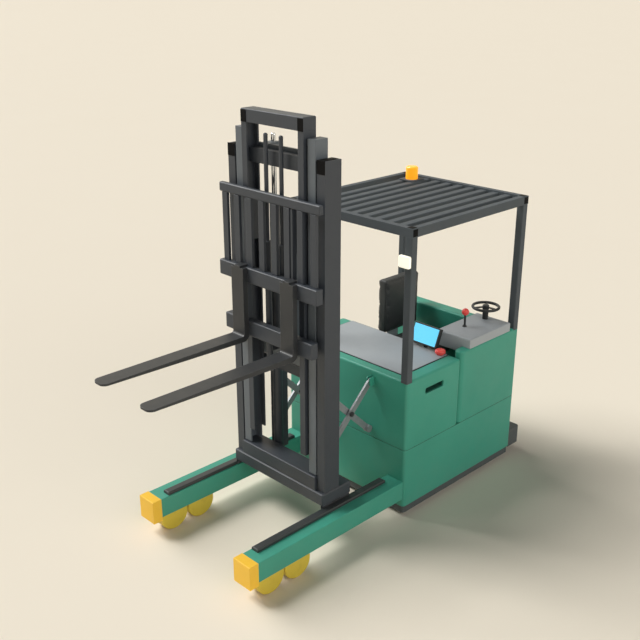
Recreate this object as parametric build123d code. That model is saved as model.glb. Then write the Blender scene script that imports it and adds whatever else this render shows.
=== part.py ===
from build123d import *
import os
from math import cos, radians, sin

# A moving-mast reach truck. Lengths are millimetres. X points to the truck's right,
# Y to its rear, Z up. While drawing, y = 0 is the front face of the body.

# Body
body_width = 1210
body_bottom = 85
seam_height = 546
body_corner_radius = 28
seam_edge_radius = 7
tub_wall = 20
tub_floor = 16
deck_thickness = 20
skirt_inset = 10
skirt_wall = 30
skirt_joint = 1.5
skirt_clearance = 25

# Battery section in front of the operator
hood_length = 607
hood_height = 1084
hood_wall = 15
hood_roof = 22
hood_edge_radius = 18
hood_plate_side_margin = 115
hood_plate_front = 80
hood_plate_rear_margin = 16
hood_plate_thickness = 6
grip_slot_length = 206
grip_slot_height = 46
grip_slot_front = 201
grip_slot_bottom = 934
battery_side_gap = 45
battery_front_gap = 40
battery_height = 780

# Operator section
section_gap = 6
cab_length = 610
cab_wall_height = 1134
side_wall_thickness = 80
rear_wall_thickness = 120
cab_wall_edge_radius = 16
wall_nose_radius = 36
floor_mat_thickness = 10
mat_margin = 8

# Foot step in the left side
step_setback = 183
step_length = 360
step_bottom = 250
step_height = 200
step_depth = 150
step_wall = 12

# Console and controls
console_width = 315
console_setback = 92
console_rear_gap = 6
console_rise = 71
console_apron = 49
console_edge_radius = 10
column_from_side = 190
column_from_rear = 67
column_radius = 23
column_height = 82
steering_pin_radius = 9
steering_wheel_radius = 112
steering_rim_radius = 11
steering_hub_radius = 26
steering_hub_height = 34
steering_spokes = 3
spoke_width = 18
spoke_thickness = 8
joystick_from_side = 200
joystick_from_front = 195
joystick_boot_radius = 18
joystick_boot_height = 12
joystick_lever_radius = 8
joystick_lever_length = 105
joystick_knob_radius = 28
stop_button_from_side = 158
stop_button_from_rear = 51
stop_button_radius = 40
stop_button_height = 26
stop_collar_radius = 27
stop_collar_height = 12
display_from_side = 326
display_from_rear = 29
display_rise = 32
display_width = 248
display_height = 152
display_depth = 38
display_tilt = 23
display_bezel = 9
display_glass = 4
display_stalk_radius = 15

# Operator's seat, facing the console
seat_from_side = 305
seat_rear_gap = 13
seat_width = 425
seat_depth = 465
seat_height = 960
cushion_thickness = 92
backrest_thickness = 100
backrest_top = 1432
backrest_gap = 12
seat_corner_radius = 28
pedestal_inset = 95
seat_bracket_width = 130
seat_bracket_thickness = 10
seat_seating_gap = 0.3

# Overhead guard
guard_side_inset = 3
guard_front_overhang = 4
guard_rear_inset = 9
guard_top = 2188
guard_rail_height = 63
guard_rail_width = 46
guard_post = 60
post_seat_depth = 12
corner_plate_margin = 7
corner_plate_thickness = 2
slat_pitch = 112
slat_width = 64
slat_height = 30
slat_top_drop = 10
slat_edge_radius = 9
lamp_width = 96
lamp_height = 84
lamp_bottom = 1918
lamp_overhang = 3
lamp_back_depth = 8
lamp_lens_depth = 20
lamp_edge_radius = 12
beacon_from_side = 210
beacon_from_rear = 170
beacon_radius = 49
beacon_height = 100
beacon_base_size = 150
beacon_base_thickness = 10

# Rear bumper
bumper_side_inset = 13
bumper_depth = 147
bumper_bottom = 62
bumper_top = 215
bumper_corner_radius = 22
bumper_edge_radius = 10

# Straddle legs and load wheels
leg_side_inset = 9
leg_width = 156
leg_bottom = 146
leg_top = 292
leg_end = -1385
leg_wall = 8
leg_edge_radius = 6
leg_cap_length = 76
leg_cap_proud = 3
leg_cap_bottom = 122
load_wheel_radius = 114
load_wheel_front_y = -1268
load_wheel_spacing = 235
load_wheel_chamfer = 7
wheel_running_gap = 5
wheel_arch_gap = 8
bogie_plate = 18
bogie_boss_radius = 38
load_axle_radius = 20
bearing_gap = 0.4

# Drive and steering unit under the operator
drive_from_rear = 333
drive_wheel_radius = 165
drive_wheel_width = 120
drive_tyre_thickness = 38
drive_tyre_chamfer = 10
drive_stub_radius = 26
drive_hub_web = 30
gearbox_thickness = 62
gearbox_half_length = 78
gearbox_bottom = 92
turntable_radius = 168
turntable_thickness = 30
bridge_bottom = 384
bridge_thickness = 20
bridge_half_length = 230
motor_radius = 112
motor_height = 128
motor_passage_gap = 12

# Mast rails and sliding base
rail_leg_margin = 10
rail_width = 58
rail_height = 23
rail_front = -1316
rail_rear = -96
rail_edge_radius = 8
base_leg_overlap = 24
base_front = -692
base_rear = -411
base_bottom = 331
base_top = 423
base_edge = 8
beam_front = -684
beam_rear = -526
beam_top = 525
shoe_length = 90
shoe_lip_gap = 6
beam_side_gap = 6

# Outer mast stage, fixed to the base
mast_side_margin = 9
outer_width = 69
outer_front = -663
outer_rear = -523
outer_top = 2699
outer_steel = 14
outer_tie_depth = 26
outer_tie_height = 76
outer_tie_low = 1140
outer_tie_high = 2600
cap_height = 80
cap_thickness = 3

# Middle mast stage
mid_side_gap = 14
mid_width = 68
mid_front = -663
mid_rear = -557
mid_bottom = 531
mid_top = 2820
mid_steel = 12
mid_tie_front = -571
mid_tie_rear = -554
mid_tie_height = 80
mid_tie_low = 1240
mid_tie_high = 2638

# Inner mast stage
inner_side_gap = 15
inner_width = 49
inner_front = -683
inner_rear = -576
inner_bottom = 656
inner_top = 2945
inner_steel = 11
head_bar_height = 85
second_bar_bottom = 2598
second_bar_height = 95
second_bar_front = -632
saddle_bar_bottom = 1330
saddle_bar_height = 80
saddle_bar_depth = 26

# Rollers that carry each stage in the next one
mast_roller_width = 38
mast_stub_radius = 18
mast_roller_rise = 75
carriage_roller_width = 26
carriage_roller_pitch = 200

# Free-lift cylinders on the inner stage
free_lift_x = 72
free_lift_y = -668
free_barrel_radius = 22
free_barrel_bottom = 1290
free_barrel_top = 2110
free_rod_radius = 14
free_rod_top = 2810
free_rod_bottom = 1995

# Main lift cylinders behind the outer stage
main_lift_x = 201
main_lift_y = -487
main_barrel_radius = 34
main_barrel_top = 2340
main_rod_radius = 17
main_rod_bottom = 460
main_rod_top = 2775
main_lug_gap = 6

# Fork carriage
carriage_bar_front = -757
carriage_bar_rear = -697
upper_bar_overhang = 11
upper_bar_bottom = 1810
upper_bar_top = 1915
lower_bar_leg_gap = 10
lower_bar_bottom = 1430
lower_bar_top = 1540
bar_edge = 5
carriage_plate_gap = 8
carriage_plate_thickness = 20
carriage_roller_low = 2135
carriage_plate_margin = 46
carriage_plate_rear = -616

# Load backrest
backrest_bar_count = 8
backrest_bar_width = 50
backrest_bar_depth = 20
rest_rail_overhang = 4
rest_rail_end = 30.5
rest_rail_bottom = 2385
rest_rail_top = 2447
rest_setback = 24
rest_rail_edge = 6

# Forks
fork_x = 242
fork_width = 120
fork_thickness = 40
fork_top = 1435
fork_tip = -1910
fork_tip_thickness = 14
fork_heel_radius = 46
fork_tip_radius = 42
fork_hook_width = 56
fork_hook_height = 14
fork_hook_depth = 30

# Scissor arms between the body and the mast base
arm_outer_x = 278
arm_gap = 8
arm_thickness = 16
arm_width = 46
arm_pivot_standoff = 28
arm_pivot_height = 1005
arm_spread = 398
arm_angle = 44
arm_pin_radius = 8
arm_pin_gap = 0.3
arm_pin_head_radius = 19
arm_pin_head = 8
arm_roller_gap = 0.4
bracket_plate = 8
bracket_side_gap = 2
bracket_half_height = 33
guide_side_gap = 8
guide_plate = 8
guide_slack = 15
guide_half_depth = 46
guide_top = 1045

# Places that follow from the sizes above
body_half = body_width / 2
cab_front = hood_length + section_gap
cab_rear = cab_front + cab_length
body_length = cab_rear + rear_wall_thickness
hood_plate_top = hood_height + hood_plate_thickness
step_front = hood_length + step_setback
console_top = cab_wall_height + console_rise
console_skirt_bottom = cab_wall_height - console_apron
console_inner_x = body_half - console_width
console_front = cab_front + console_setback
console_rear = cab_rear - console_rear_gap
column_x = body_half - column_from_side
column_y = console_rear - column_from_rear
column_top = console_top + column_height
joystick_x = body_half - joystick_from_side
joystick_y = console_front + joystick_from_front
stop_button_x = body_half - stop_button_from_side
stop_button_y = hood_length - stop_button_from_rear
display_x = body_half - display_from_side
display_y = hood_length - display_from_rear
display_bottom = hood_plate_top + display_rise
seat_back_face_x = -body_half + seat_from_side
seat_rear = cab_rear - seat_rear_gap
seat_front = seat_rear - seat_width
guard_half_width = body_half - guard_side_inset
guard_front = -guard_front_overhang
guard_rear = body_length - guard_rear_inset
beacon_x = -guard_half_width + beacon_from_side
beacon_y = guard_rear - beacon_from_rear
leg_inner_x = body_half - leg_side_inset - leg_width
rail_inner_x = leg_inner_x + rail_leg_margin
base_half_width = leg_inner_x + base_leg_overlap
drive_y = body_length - drive_from_rear
outer_outer_x = base_half_width - mast_side_margin
outer_inner_x = outer_outer_x - outer_width
mid_outer_x = outer_inner_x - mid_side_gap
mid_inner_x = mid_outer_x - mid_width
inner_outer_x = mid_inner_x - inner_side_gap
inner_inner_x = inner_outer_x - inner_width
beam_half_width = outer_inner_x - beam_side_gap
main_lug_bottom = outer_tie_high + outer_tie_height + main_lug_gap
upper_bar_half_width = base_half_width + upper_bar_overhang
lower_bar_half_width = leg_inner_x - lower_bar_leg_gap
carriage_plate_x = inner_inner_x - carriage_plate_gap - carriage_plate_thickness
rest_rail_half_width = upper_bar_half_width + rest_rail_overhang
rest_bar_x = rest_rail_half_width - rest_rail_end - backrest_bar_width / 2
rest_front = carriage_bar_front + rest_setback
arm_inner_x = arm_outer_x - arm_thickness - arm_gap
guide_inner_x = arm_inner_x - arm_thickness / 2 - guide_side_gap
guide_outer_x = arm_outer_x + arm_thickness / 2 + guide_side_gap

# The origin lies on the floor, under the middle of the whole truck
bumper_rear = body_length + bumper_depth
body_front_y = -(fork_tip + bumper_rear) / 2


def block(x_range, y_range, z_range):
    """A box between two values along each axis."""
    (x0, x1), (y0, y1), (z0, z1) = x_range, y_range, z_range
    centre = Pos((x0 + x1) / 2, (y0 + y1) / 2, (z0 + z1) / 2)
    return centre * Box(x1 - x0, y1 - y0, z1 - z0)


def bar_x(x_range, y, z, radius):
    """A round bar along X."""
    x0, x1 = x_range
    return Pos((x0 + x1) / 2, y, z) * Rot(0, 90, 0) * Cylinder(radius, x1 - x0)


def bar_z(x, y, z_range, radius):
    """An upright round bar."""
    z0, z1 = z_range
    return Pos(x, y, (z0 + z1) / 2) * Cylinder(radius, z1 - z0)


def middle(ends):
    """The middle of a range."""
    return sum(ends) / 2


def mirrored(shape):
    """The same shape on the truck's other side."""
    return mirror(shape, about=Plane.YZ)


def both_sides(*shapes):
    """Right-hand shapes followed by their left-hand twins."""
    return list(shapes) + [mirrored(shape) for shape in shapes]


def rounded(shape, axis, radius):
    """Round every edge that runs along an axis."""
    return fillet(shape.edges().filter_by(axis), radius)


def soften(shape, radius):
    """Round all edges of a plain form."""
    return fillet(shape.edges(), radius)


def bevelled(shape, size):
    """Break all edges of a plain form."""
    return chamfer(shape.edges(), size)


def save(node, *shapes):
    """Move the solids into the truck's frame and write one node."""
    solids = [solid for shape in shapes for solid in (Pos(0, body_front_y, 0) * shape).solids()]
    export_step(Compound(solids), f"parts/{node}.step")


def body_block(y_range, z_range):
    """A full-width body section with rounded upright corners."""
    return rounded(block((-body_half, body_half), y_range, z_range), Axis.Z, body_corner_radius)


def chassis_tub():
    """The lower body: a battery well in front, a wheel house and deck behind."""
    inner_half = body_half - tub_wall
    tub = body_block((0, body_length), (body_bottom, seam_height))
    tub = fillet(tub.faces().sort_by(Axis.Z)[-1].outer_wire().edges(), seam_edge_radius)
    well = block((-inner_half, inner_half), (tub_wall, hood_length - tub_wall),
                 (body_bottom + tub_floor, seam_height))
    wheel_house = block((-inner_half, inner_half), (hood_length, body_length - tub_wall),
                        (body_bottom, seam_height - deck_thickness))
    tub = tub - well - wheel_house
    bridge_y = (drive_y - bridge_half_length, drive_y + bridge_half_length)
    bridge_z = (bridge_bottom, bridge_bottom + bridge_thickness)
    bridge = block((-inner_half, inner_half), bridge_y, bridge_z)
    bridge -= bar_z(0, drive_y, bridge_z, motor_radius + motor_passage_gap)
    step_x = -body_half + step_depth
    step_z = (step_bottom, step_bottom + step_height)
    step_y = (step_front, step_front + step_length)
    step_box = block((-inner_half, step_x + step_wall), (step_y[0] - step_wall, step_y[1] + step_wall),
                     (step_z[0] - step_wall, step_z[1] + step_wall))
    step_space = block((-body_half, step_x), step_y, step_z)
    return tub + bridge + step_box - step_space


def skirt():
    """Four dark strips under the body's edge."""
    half = body_half - skirt_inset
    z_range = (skirt_clearance, body_bottom)
    front = block((-half, half), (skirt_inset, skirt_inset + skirt_wall), z_range)
    front = fillet(front.edges().filter_by(Axis.Z).group_by(Axis.Y)[0], skirt_wall * 0.7)
    rear_y = body_length - skirt_inset
    rear = block((-half, half), (rear_y - skirt_wall, rear_y), z_range)
    rear = fillet(rear.edges().filter_by(Axis.Z).group_by(Axis.Y)[-1], skirt_wall * 0.7)
    side_end = skirt_inset + skirt_wall + skirt_joint
    side = block((half - skirt_wall, half), (side_end, body_length - side_end), z_range)
    return [front, rear] + both_sides(side)


def battery_hood():
    """The cover over the battery, with grip slots and seats for the front posts."""
    hood = body_block((0, hood_length), (seam_height, hood_height))
    hood = fillet(hood.faces().sort_by(Axis.Z)[-1].outer_wire().edges(), hood_edge_radius)
    hood = fillet(hood.faces().sort_by(Axis.Z)[0].outer_wire().edges(), seam_edge_radius)
    inner_half = body_half - hood_wall
    hood -= block((-inner_half, inner_half), (hood_wall, hood_length - hood_wall),
                  (seam_height, hood_height - hood_roof))
    slot = block((inner_half, body_half), (grip_slot_front, grip_slot_front + grip_slot_length),
                 (grip_slot_bottom, grip_slot_bottom + grip_slot_height))
    slot = rounded(slot, Axis.X, grip_slot_height / 4)
    seat = block((guard_half_width - guard_post, body_half), (0, guard_front + guard_post),
                 (hood_height - post_seat_depth, hood_height))
    for cut in both_sides(slot, seat):
        hood -= cut
    return hood


def hood_plate():
    """The grey service lid on the hood."""
    half = body_half - hood_plate_side_margin
    plate = block((-half, half), (hood_plate_front, hood_length - hood_plate_rear_margin),
                  (hood_height, hood_plate_top))
    return rounded(plate, Axis.Z, body_corner_radius / 2)


def battery():
    """The battery block that stands in the well."""
    half = body_half - tub_wall - battery_side_gap
    bottom = body_bottom + tub_floor
    gap = tub_wall + battery_front_gap
    return block((-half, half), (gap, hood_length - gap), (bottom, bottom + battery_height))


def cab_walls():
    """The right-hand wall and the rear wall of the operator section."""
    inner_x = body_half - side_wall_thickness
    side = block((inner_x, body_half), (cab_front, body_length), (seam_height, cab_wall_height))
    rear = block((-body_half, body_half), (cab_rear, body_length), (seam_height, cab_wall_height))
    walls = side + rear
    upright = walls.edges().filter_by(Axis.Z)
    nose = upright.sort_by(Axis.Y)[:2]
    walls = fillet(nose, wall_nose_radius)
    rear_corners = walls.edges().filter_by(Axis.Z).group_by(Axis.Y)[-1]
    walls = fillet(rear_corners, body_corner_radius)
    walls = fillet(walls.faces().sort_by(Axis.Z)[-1].outer_wire().edges(), cab_wall_edge_radius)
    walls = fillet(walls.faces().sort_by(Axis.Z)[0].outer_wire().edges(), seam_edge_radius)
    seat = block((guard_half_width - guard_post, body_half), (guard_rear - guard_post, body_length),
                 (cab_wall_height - post_seat_depth, cab_wall_height))
    for cut in both_sides(seat):
        walls -= cut
    joint = Plane.YZ.offset(inner_x)
    return split(walls, bisect_by=joint, keep=Keep.TOP), split(walls, bisect_by=joint, keep=Keep.BOTTOM)


def floor_mat():
    """The rubber mat on the operator's deck."""
    mat = block((-body_half + tub_wall, body_half - side_wall_thickness - mat_margin),
                (cab_front + mat_margin, cab_rear - mat_margin),
                (seam_height, seam_height + floor_mat_thickness))
    return rounded(mat, Axis.Z, body_corner_radius / 2)


def console():
    """The control desk, standing on the right-hand wall and reaching inwards."""
    y_range = (console_front, console_rear)
    desk = block((console_inner_x, body_half), y_range, (console_skirt_bottom, console_top))
    desk -= block((body_half - side_wall_thickness, body_half), y_range,
                  (console_skirt_bottom, cab_wall_height))
    return fillet(desk.faces().sort_by(Axis.Z)[-1].outer_wire().edges(), console_edge_radius)


def steering_column():
    """The upright column and the pin that the steering wheel turns on."""
    column = bar_z(column_x, column_y, (console_top, column_top), column_radius)
    pin_top = column_top + steering_hub_height - steering_pin_radius
    return column + bar_z(column_x, column_y, (column_top, pin_top), steering_pin_radius)


def steering_wheel():
    """Rim, flat spokes and domed hub."""
    bottom = column_top + bearing_gap
    rim_z = bottom + steering_hub_height / 2
    rim_centre = steering_wheel_radius - steering_rim_radius
    hub = bar_z(0, 0, (bottom, bottom + steering_hub_height), steering_hub_radius)
    hub = fillet(hub.edges().sort_by(Axis.Z)[-1], steering_hub_radius / 3)
    wheel = hub + Pos(0, 0, rim_z) * Torus(rim_centre, steering_rim_radius)
    for index in range(steering_spokes):
        spoke = block((0, rim_centre), (-spoke_width / 2, spoke_width / 2),
                      (rim_z - spoke_thickness / 2, rim_z + spoke_thickness / 2))
        wheel += Rot(0, 0, 360 * index / steering_spokes) * spoke
    bore_top = column_top + steering_hub_height - steering_pin_radius + bearing_gap
    wheel -= bar_z(0, 0, (bottom, bore_top), steering_pin_radius + bearing_gap)
    return Pos(column_x, column_y, 0) * wheel


def joystick_lever():
    """The rubber boot and lever of the mast control."""
    boot = Cone(joystick_boot_radius, joystick_lever_radius * 1.5, joystick_boot_height)
    boot = Pos(joystick_x, joystick_y, console_top + joystick_boot_height / 2) * boot
    lever_top = console_top + joystick_lever_length
    return boot + bar_z(joystick_x, joystick_y, (console_top, lever_top), joystick_lever_radius)


def joystick_knob():
    """The ball on top of the lever."""
    lever_top = console_top + joystick_lever_length
    centre_z = lever_top + joystick_knob_radius / 2
    ball = Pos(joystick_x, joystick_y, centre_z) * Sphere(joystick_knob_radius)
    return ball - bar_z(joystick_x, joystick_y, (console_top, lever_top), joystick_lever_radius)


def stop_button():
    """A mushroom button on its collar."""
    collar_top = hood_plate_top + stop_collar_height
    head_z = (collar_top, collar_top + stop_button_height)
    head = bar_z(stop_button_x, stop_button_y, head_z, stop_button_radius)
    head = fillet(head.edges().sort_by(Axis.Z)[-1], stop_button_height * 0.6)
    return head + bar_z(stop_button_x, stop_button_y, (hood_plate_top, collar_top), stop_collar_radius)


def display_frame(width, height, y_range):
    """A panel in the tilted plane of the display; y runs back from its front."""
    panel = block((-width / 2, width / 2), y_range, (-height / 2, height / 2))
    centre_z = display_bottom + display_height / 2 * cos(radians(display_tilt))
    return Pos(display_x, display_y, centre_z) * Rot(-display_tilt, 0, 0) * panel


def display():
    """Housing, glass and stalk of the operator's display."""
    housing = soften(display_frame(display_width, display_height, (0, display_depth)), display_bezel / 2)
    glass_width = display_width - 2 * display_bezel
    glass_height = display_height - 2 * display_bezel
    glass = display_frame(glass_width, glass_height, (0, display_glass))
    stalk = bar_z(display_x, display_y + display_stalk_radius,
                  (hood_plate_top, display_bottom + display_height / 2), display_stalk_radius)
    behind = display_frame(display_width, display_height * 2, (-display_height, display_depth))
    return housing - glass + (stalk - behind), glass


def seat():
    """Pedestal with its back bracket, cushion and backrest."""
    middle_y = middle((seat_front, seat_rear))
    cushion_bottom = seat_height - cushion_thickness
    support = cushion_bottom - seat_seating_gap
    cushion_x = (seat_back_face_x + backrest_gap, seat_back_face_x + seat_depth)
    seat_y = (seat_front, seat_rear)
    cushion = soften(block(cushion_x, seat_y, (cushion_bottom, seat_height)), seat_corner_radius)
    back_x = (seat_back_face_x - backrest_thickness, seat_back_face_x)
    backrest = soften(block(back_x, seat_y, (seat_height, backrest_top)), seat_corner_radius)
    pedestal = block((cushion_x[0] + pedestal_inset, cushion_x[1] - pedestal_inset),
                     (seat_front + pedestal_inset, seat_rear - pedestal_inset),
                     (seam_height + floor_mat_thickness, support))
    pedestal = rounded(pedestal, Axis.Z, seat_corner_radius)
    bracket_y = (middle_y - seat_bracket_width / 2, middle_y + seat_bracket_width / 2)
    arm_x = back_x[0] - seat_seating_gap
    tray = block((arm_x - seat_bracket_thickness, middle(cushion_x)), bracket_y,
                 (support - seat_bracket_thickness, support))
    upright = block((arm_x - seat_bracket_thickness, arm_x), bracket_y,
                    (support - seat_bracket_thickness, (seat_height + backrest_top) / 2))
    return pedestal + tray + upright, cushion, backrest


def guard_corners():
    """Lowest corner of each right-hand guard post: x range, y range, foot height."""
    x_range = (guard_half_width - guard_post, guard_half_width)
    front = (x_range, (guard_front, guard_front + guard_post), hood_height - post_seat_depth)
    rear = (x_range, (guard_rear - guard_post, guard_rear), cab_wall_height - post_seat_depth)
    return front, rear


def guard_posts():
    """The four posts, the front ones with a back plate for their lamp."""
    rail_bottom = guard_top - guard_rail_height
    front, rear = [rounded(block(x, y, (foot, rail_bottom)), Axis.Z, slat_edge_radius)
                   for x, y, foot in guard_corners()]
    return both_sides(front + lamp_back(), rear)


def guard_corner_blocks():
    """The black plates on the side and the top of each roof corner."""
    plates = []
    for x, y, foot in guard_corners():
        plate_y = (y[0] + corner_plate_margin, y[1] - corner_plate_margin)
        plate_z = (guard_top - guard_rail_height + corner_plate_margin, guard_top - corner_plate_margin)
        plates.append(block((x[1], x[1] + corner_plate_thickness), plate_y, plate_z))
        plates.append(block((x[0] + corner_plate_margin, x[1] - corner_plate_margin), plate_y,
                            (guard_top, guard_top + corner_plate_thickness)))
    return both_sides(*plates)


def guard_roof():
    """Rails and corners round the roof, and the slats between them."""
    rail_z = (guard_top - guard_rail_height, guard_top)
    side_x = (guard_half_width - guard_rail_width, guard_half_width)
    cross_x = (-guard_half_width, guard_half_width)
    roof = block(cross_x, (guard_front, guard_front + guard_rail_width), rail_z)
    roof += block(cross_x, (guard_rear - guard_rail_width, guard_rear), rail_z)
    for side in both_sides(block(side_x, (guard_front, guard_rear), rail_z)):
        roof += side
    for corner in both_sides(*[block(x, y, rail_z) for x, y, foot in guard_corners()]):
        roof += corner
    cross_half = guard_half_width - guard_post
    slat_z = (guard_top - slat_top_drop - slat_height, guard_top - slat_top_drop)
    slat_y = (guard_front + guard_rail_width, guard_rear - guard_rail_width)
    steps = int((cross_half - slat_width / 2) // slat_pitch)
    slats = []
    for index in range(-steps, steps + 1):
        x = index * slat_pitch
        slat = block((x - slat_width / 2, x + slat_width / 2), slat_y, slat_z)
        slats.append(rounded(slat, Axis.Y, slat_edge_radius))
    return roof + slats + beacon_foot()


def lamp_slice(y_range):
    """A slice of the right-hand work lamp's outline."""
    side = guard_half_width + lamp_overhang
    lamp = block((side - lamp_width, side), y_range, (lamp_bottom, lamp_bottom + lamp_height))
    return rounded(lamp, Axis.Y, lamp_edge_radius)


def lamp_back():
    """The plate that holds the right-hand lamp on its post."""
    return lamp_slice((guard_front - lamp_back_depth, guard_front + slat_edge_radius))


def lamp_lens():
    """The lens of the right-hand lamp."""
    back = guard_front - lamp_back_depth
    lens = lamp_slice((back - lamp_lens_depth, back))
    return fillet(lens.faces().sort_by(Axis.Y)[0].outer_wire().edges(), lamp_edge_radius / 2)


def beacon_foot():
    """The plate across the slats that the warning beacon stands on."""
    bottom = guard_top - slat_top_drop
    half = beacon_base_size / 2
    foot = block((beacon_x - half, beacon_x + half), (beacon_y - half, beacon_y + half),
                 (bottom, bottom + beacon_base_thickness))
    return rounded(foot, Axis.Z, half / 4)


def beacon_lens():
    """The amber lens of the beacon."""
    bottom = guard_top - slat_top_drop + beacon_base_thickness
    lens = bar_z(beacon_x, beacon_y, (bottom, bottom + beacon_height), beacon_radius)
    return chamfer(lens.edges().sort_by(Axis.Z)[-1], beacon_radius / 6)


def rear_bumper():
    """The deep bumper across the rear."""
    half = body_half - bumper_side_inset
    bumper = block((-half, half), (body_length, bumper_rear), (bumper_bottom, bumper_top))
    bumper = fillet(bumper.edges().filter_by(Axis.Z).group_by(Axis.Y)[-1], bumper_corner_radius)
    return fillet(bumper.faces().sort_by(Axis.Z)[-1].outer_wire().edges(), bumper_edge_radius)


def wheel_places():
    """Y of the front and rear load wheel of a leg."""
    return load_wheel_front_y, load_wheel_front_y + load_wheel_spacing


def wheel_pocket():
    """The space for both load wheels under the right-hand leg."""
    front, rear = wheel_places()
    reach = load_wheel_radius + wheel_arch_gap
    x_range = (leg_inner_x + leg_wall, leg_inner_x + leg_width - leg_wall)
    return block(x_range, (front - reach, rear + reach), (0, 2 * load_wheel_radius + wheel_arch_gap))


def straddle_leg():
    """The right-hand leg, open below for its wheels."""
    leg = block((leg_inner_x, leg_inner_x + leg_width), (leg_end, 0), (leg_bottom, leg_top))
    return rounded(leg, Axis.Y, leg_edge_radius) - wheel_pocket()


def leg_cap():
    """The cap on the front end of the right-hand leg."""
    cap = block((leg_inner_x - leg_cap_proud, leg_inner_x + leg_width + leg_cap_proud),
                (leg_end - leg_cap_length, leg_end), (leg_cap_bottom, leg_top + leg_cap_proud))
    return bevelled(cap, leg_cap_proud) - wheel_pocket()


def bogie():
    """The plate in the right-hand leg that carries both wheel axles."""
    centre = leg_inner_x + leg_width / 2
    x_range = (centre - bogie_plate / 2, centre + bogie_plate / 2)
    front, rear = wheel_places()
    plate = block(x_range, (front, rear), (load_wheel_radius, 2 * load_wheel_radius + wheel_arch_gap))
    for y in (front, rear):
        plate += bar_x(x_range, y, load_wheel_radius, bogie_boss_radius)
    for y in (front, rear):
        plate -= bar_x(x_range, y, load_wheel_radius, load_axle_radius + bearing_gap)
    return plate


def load_wheel(y):
    """Twin rollers on one axle, either side of the bogie plate of the right-hand leg."""
    centre = leg_inner_x + leg_width / 2
    outer = leg_width / 2 - leg_wall - wheel_running_gap
    inner = bogie_plate / 2 + wheel_running_gap
    wheel = bar_x((centre - inner, centre + inner), y, load_wheel_radius, load_axle_radius)
    for side in (-1, 1):
        x_range = sorted((centre + side * inner, centre + side * outer))
        roller = bar_x(x_range, y, load_wheel_radius, load_wheel_radius)
        rim = roller.edges().filter_by(GeomType.CIRCLE).sort_by_distance((centre, y, load_wheel_radius))[-1]
        wheel += chamfer(rim, load_wheel_chamfer)
    return wheel


def drive_turntable():
    """The slewing ring under the bridge and the gearbox leg beside the wheel."""
    top = bridge_bottom - bearing_gap
    bottom = top - turntable_thickness
    ring = bar_z(0, drive_y, (bottom, top), turntable_radius)
    leg_start = drive_wheel_width / 2 + wheel_running_gap
    leg_x = (leg_start, leg_start + gearbox_thickness)
    leg_y = (drive_y - gearbox_half_length, drive_y + gearbox_half_length)
    leg = block(leg_x, leg_y, (gearbox_bottom, bottom))
    leg = fillet(leg.edges().filter_by(Axis.X).group_by(Axis.Z)[0], gearbox_half_length * 0.8)
    return ring + leg - bar_x(leg_x, drive_y, drive_wheel_radius, drive_stub_radius + bearing_gap)


def drive_motor():
    """The upright drive motor on the slewing ring."""
    bottom = bridge_bottom - bearing_gap
    motor = bar_z(0, drive_y, (bottom, bottom + motor_height), motor_radius)
    return chamfer(motor.edges().sort_by(Axis.Z)[-1], motor_radius / 8)


def drive_wheel():
    """Tyre, and the dished hub with its stub in the gearbox leg."""
    half = drive_wheel_width / 2
    rim_radius = drive_wheel_radius - drive_tyre_thickness
    tyre = bar_x((-half, half), drive_y, drive_wheel_radius, drive_wheel_radius)
    tyre = chamfer(tyre.edges().filter_by(GeomType.CIRCLE), drive_tyre_chamfer)
    tyre -= bar_x((-half, half), drive_y, drive_wheel_radius, rim_radius)
    hub = bar_x((-half, half), drive_y, drive_wheel_radius, rim_radius)
    hub -= bar_x((-half, half - drive_hub_web), drive_y, drive_wheel_radius, rim_radius - drive_hub_web)
    stub_end = half + wheel_running_gap + gearbox_thickness
    hub += bar_x((half - drive_hub_web, stub_end), drive_y, drive_wheel_radius, drive_stub_radius)
    return tyre, hub


def mast_rail():
    """The dark slide rail on the right-hand leg."""
    rail = block((rail_inner_x, rail_inner_x + rail_width), (rail_front, rail_rear),
                 (leg_top, leg_top + rail_height))
    return fillet(rail.faces().sort_by(Axis.Z)[-1].outer_wire().edges(), rail_edge_radius)


def mast_base():
    """The sliding base: a plate across both legs, a cross beam and four shoes."""
    base = block((-base_half_width, base_half_width), (base_front, base_rear), (base_bottom, base_top))
    base = bevelled(base, base_edge)
    beam = block((-beam_half_width, beam_half_width), (beam_front, beam_rear), (base_top, beam_top))
    beam = fillet(beam.faces().sort_by(Axis.Z)[-1].outer_wire().edges(), base_edge)
    rail_top = leg_top + rail_height + bearing_gap
    lip_x = (leg_inner_x, rail_inner_x - bearing_gap)
    base += beam
    for start in (base_front + base_edge, base_rear - base_edge - shoe_length):
        shoe_y = (start, start + shoe_length)
        pad = block((leg_inner_x, base_half_width - base_edge), shoe_y, (rail_top, base_bottom))
        lip = block(lip_x, shoe_y, (leg_top + shoe_lip_gap, rail_top))
        for shoe in both_sides(pad + lip):
            base += shoe
    return base


def channel(inner_x, outer_x, y_range, z_range, steel):
    """A right-hand mast channel, open towards the middle of the truck."""
    section = block((inner_x, outer_x), y_range, z_range)
    return section - block((inner_x, outer_x - steel), (y_range[0] + steel, y_range[1] - steel), z_range)


def stage_roller(x_start, x_end, y, z, radius, width):
    """A guide roller on its stub, standing out of a stage to the right."""
    return bar_x((x_start, x_end), y, z, mast_stub_radius) + bar_x((x_end - width, x_end), y, z, radius)


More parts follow.
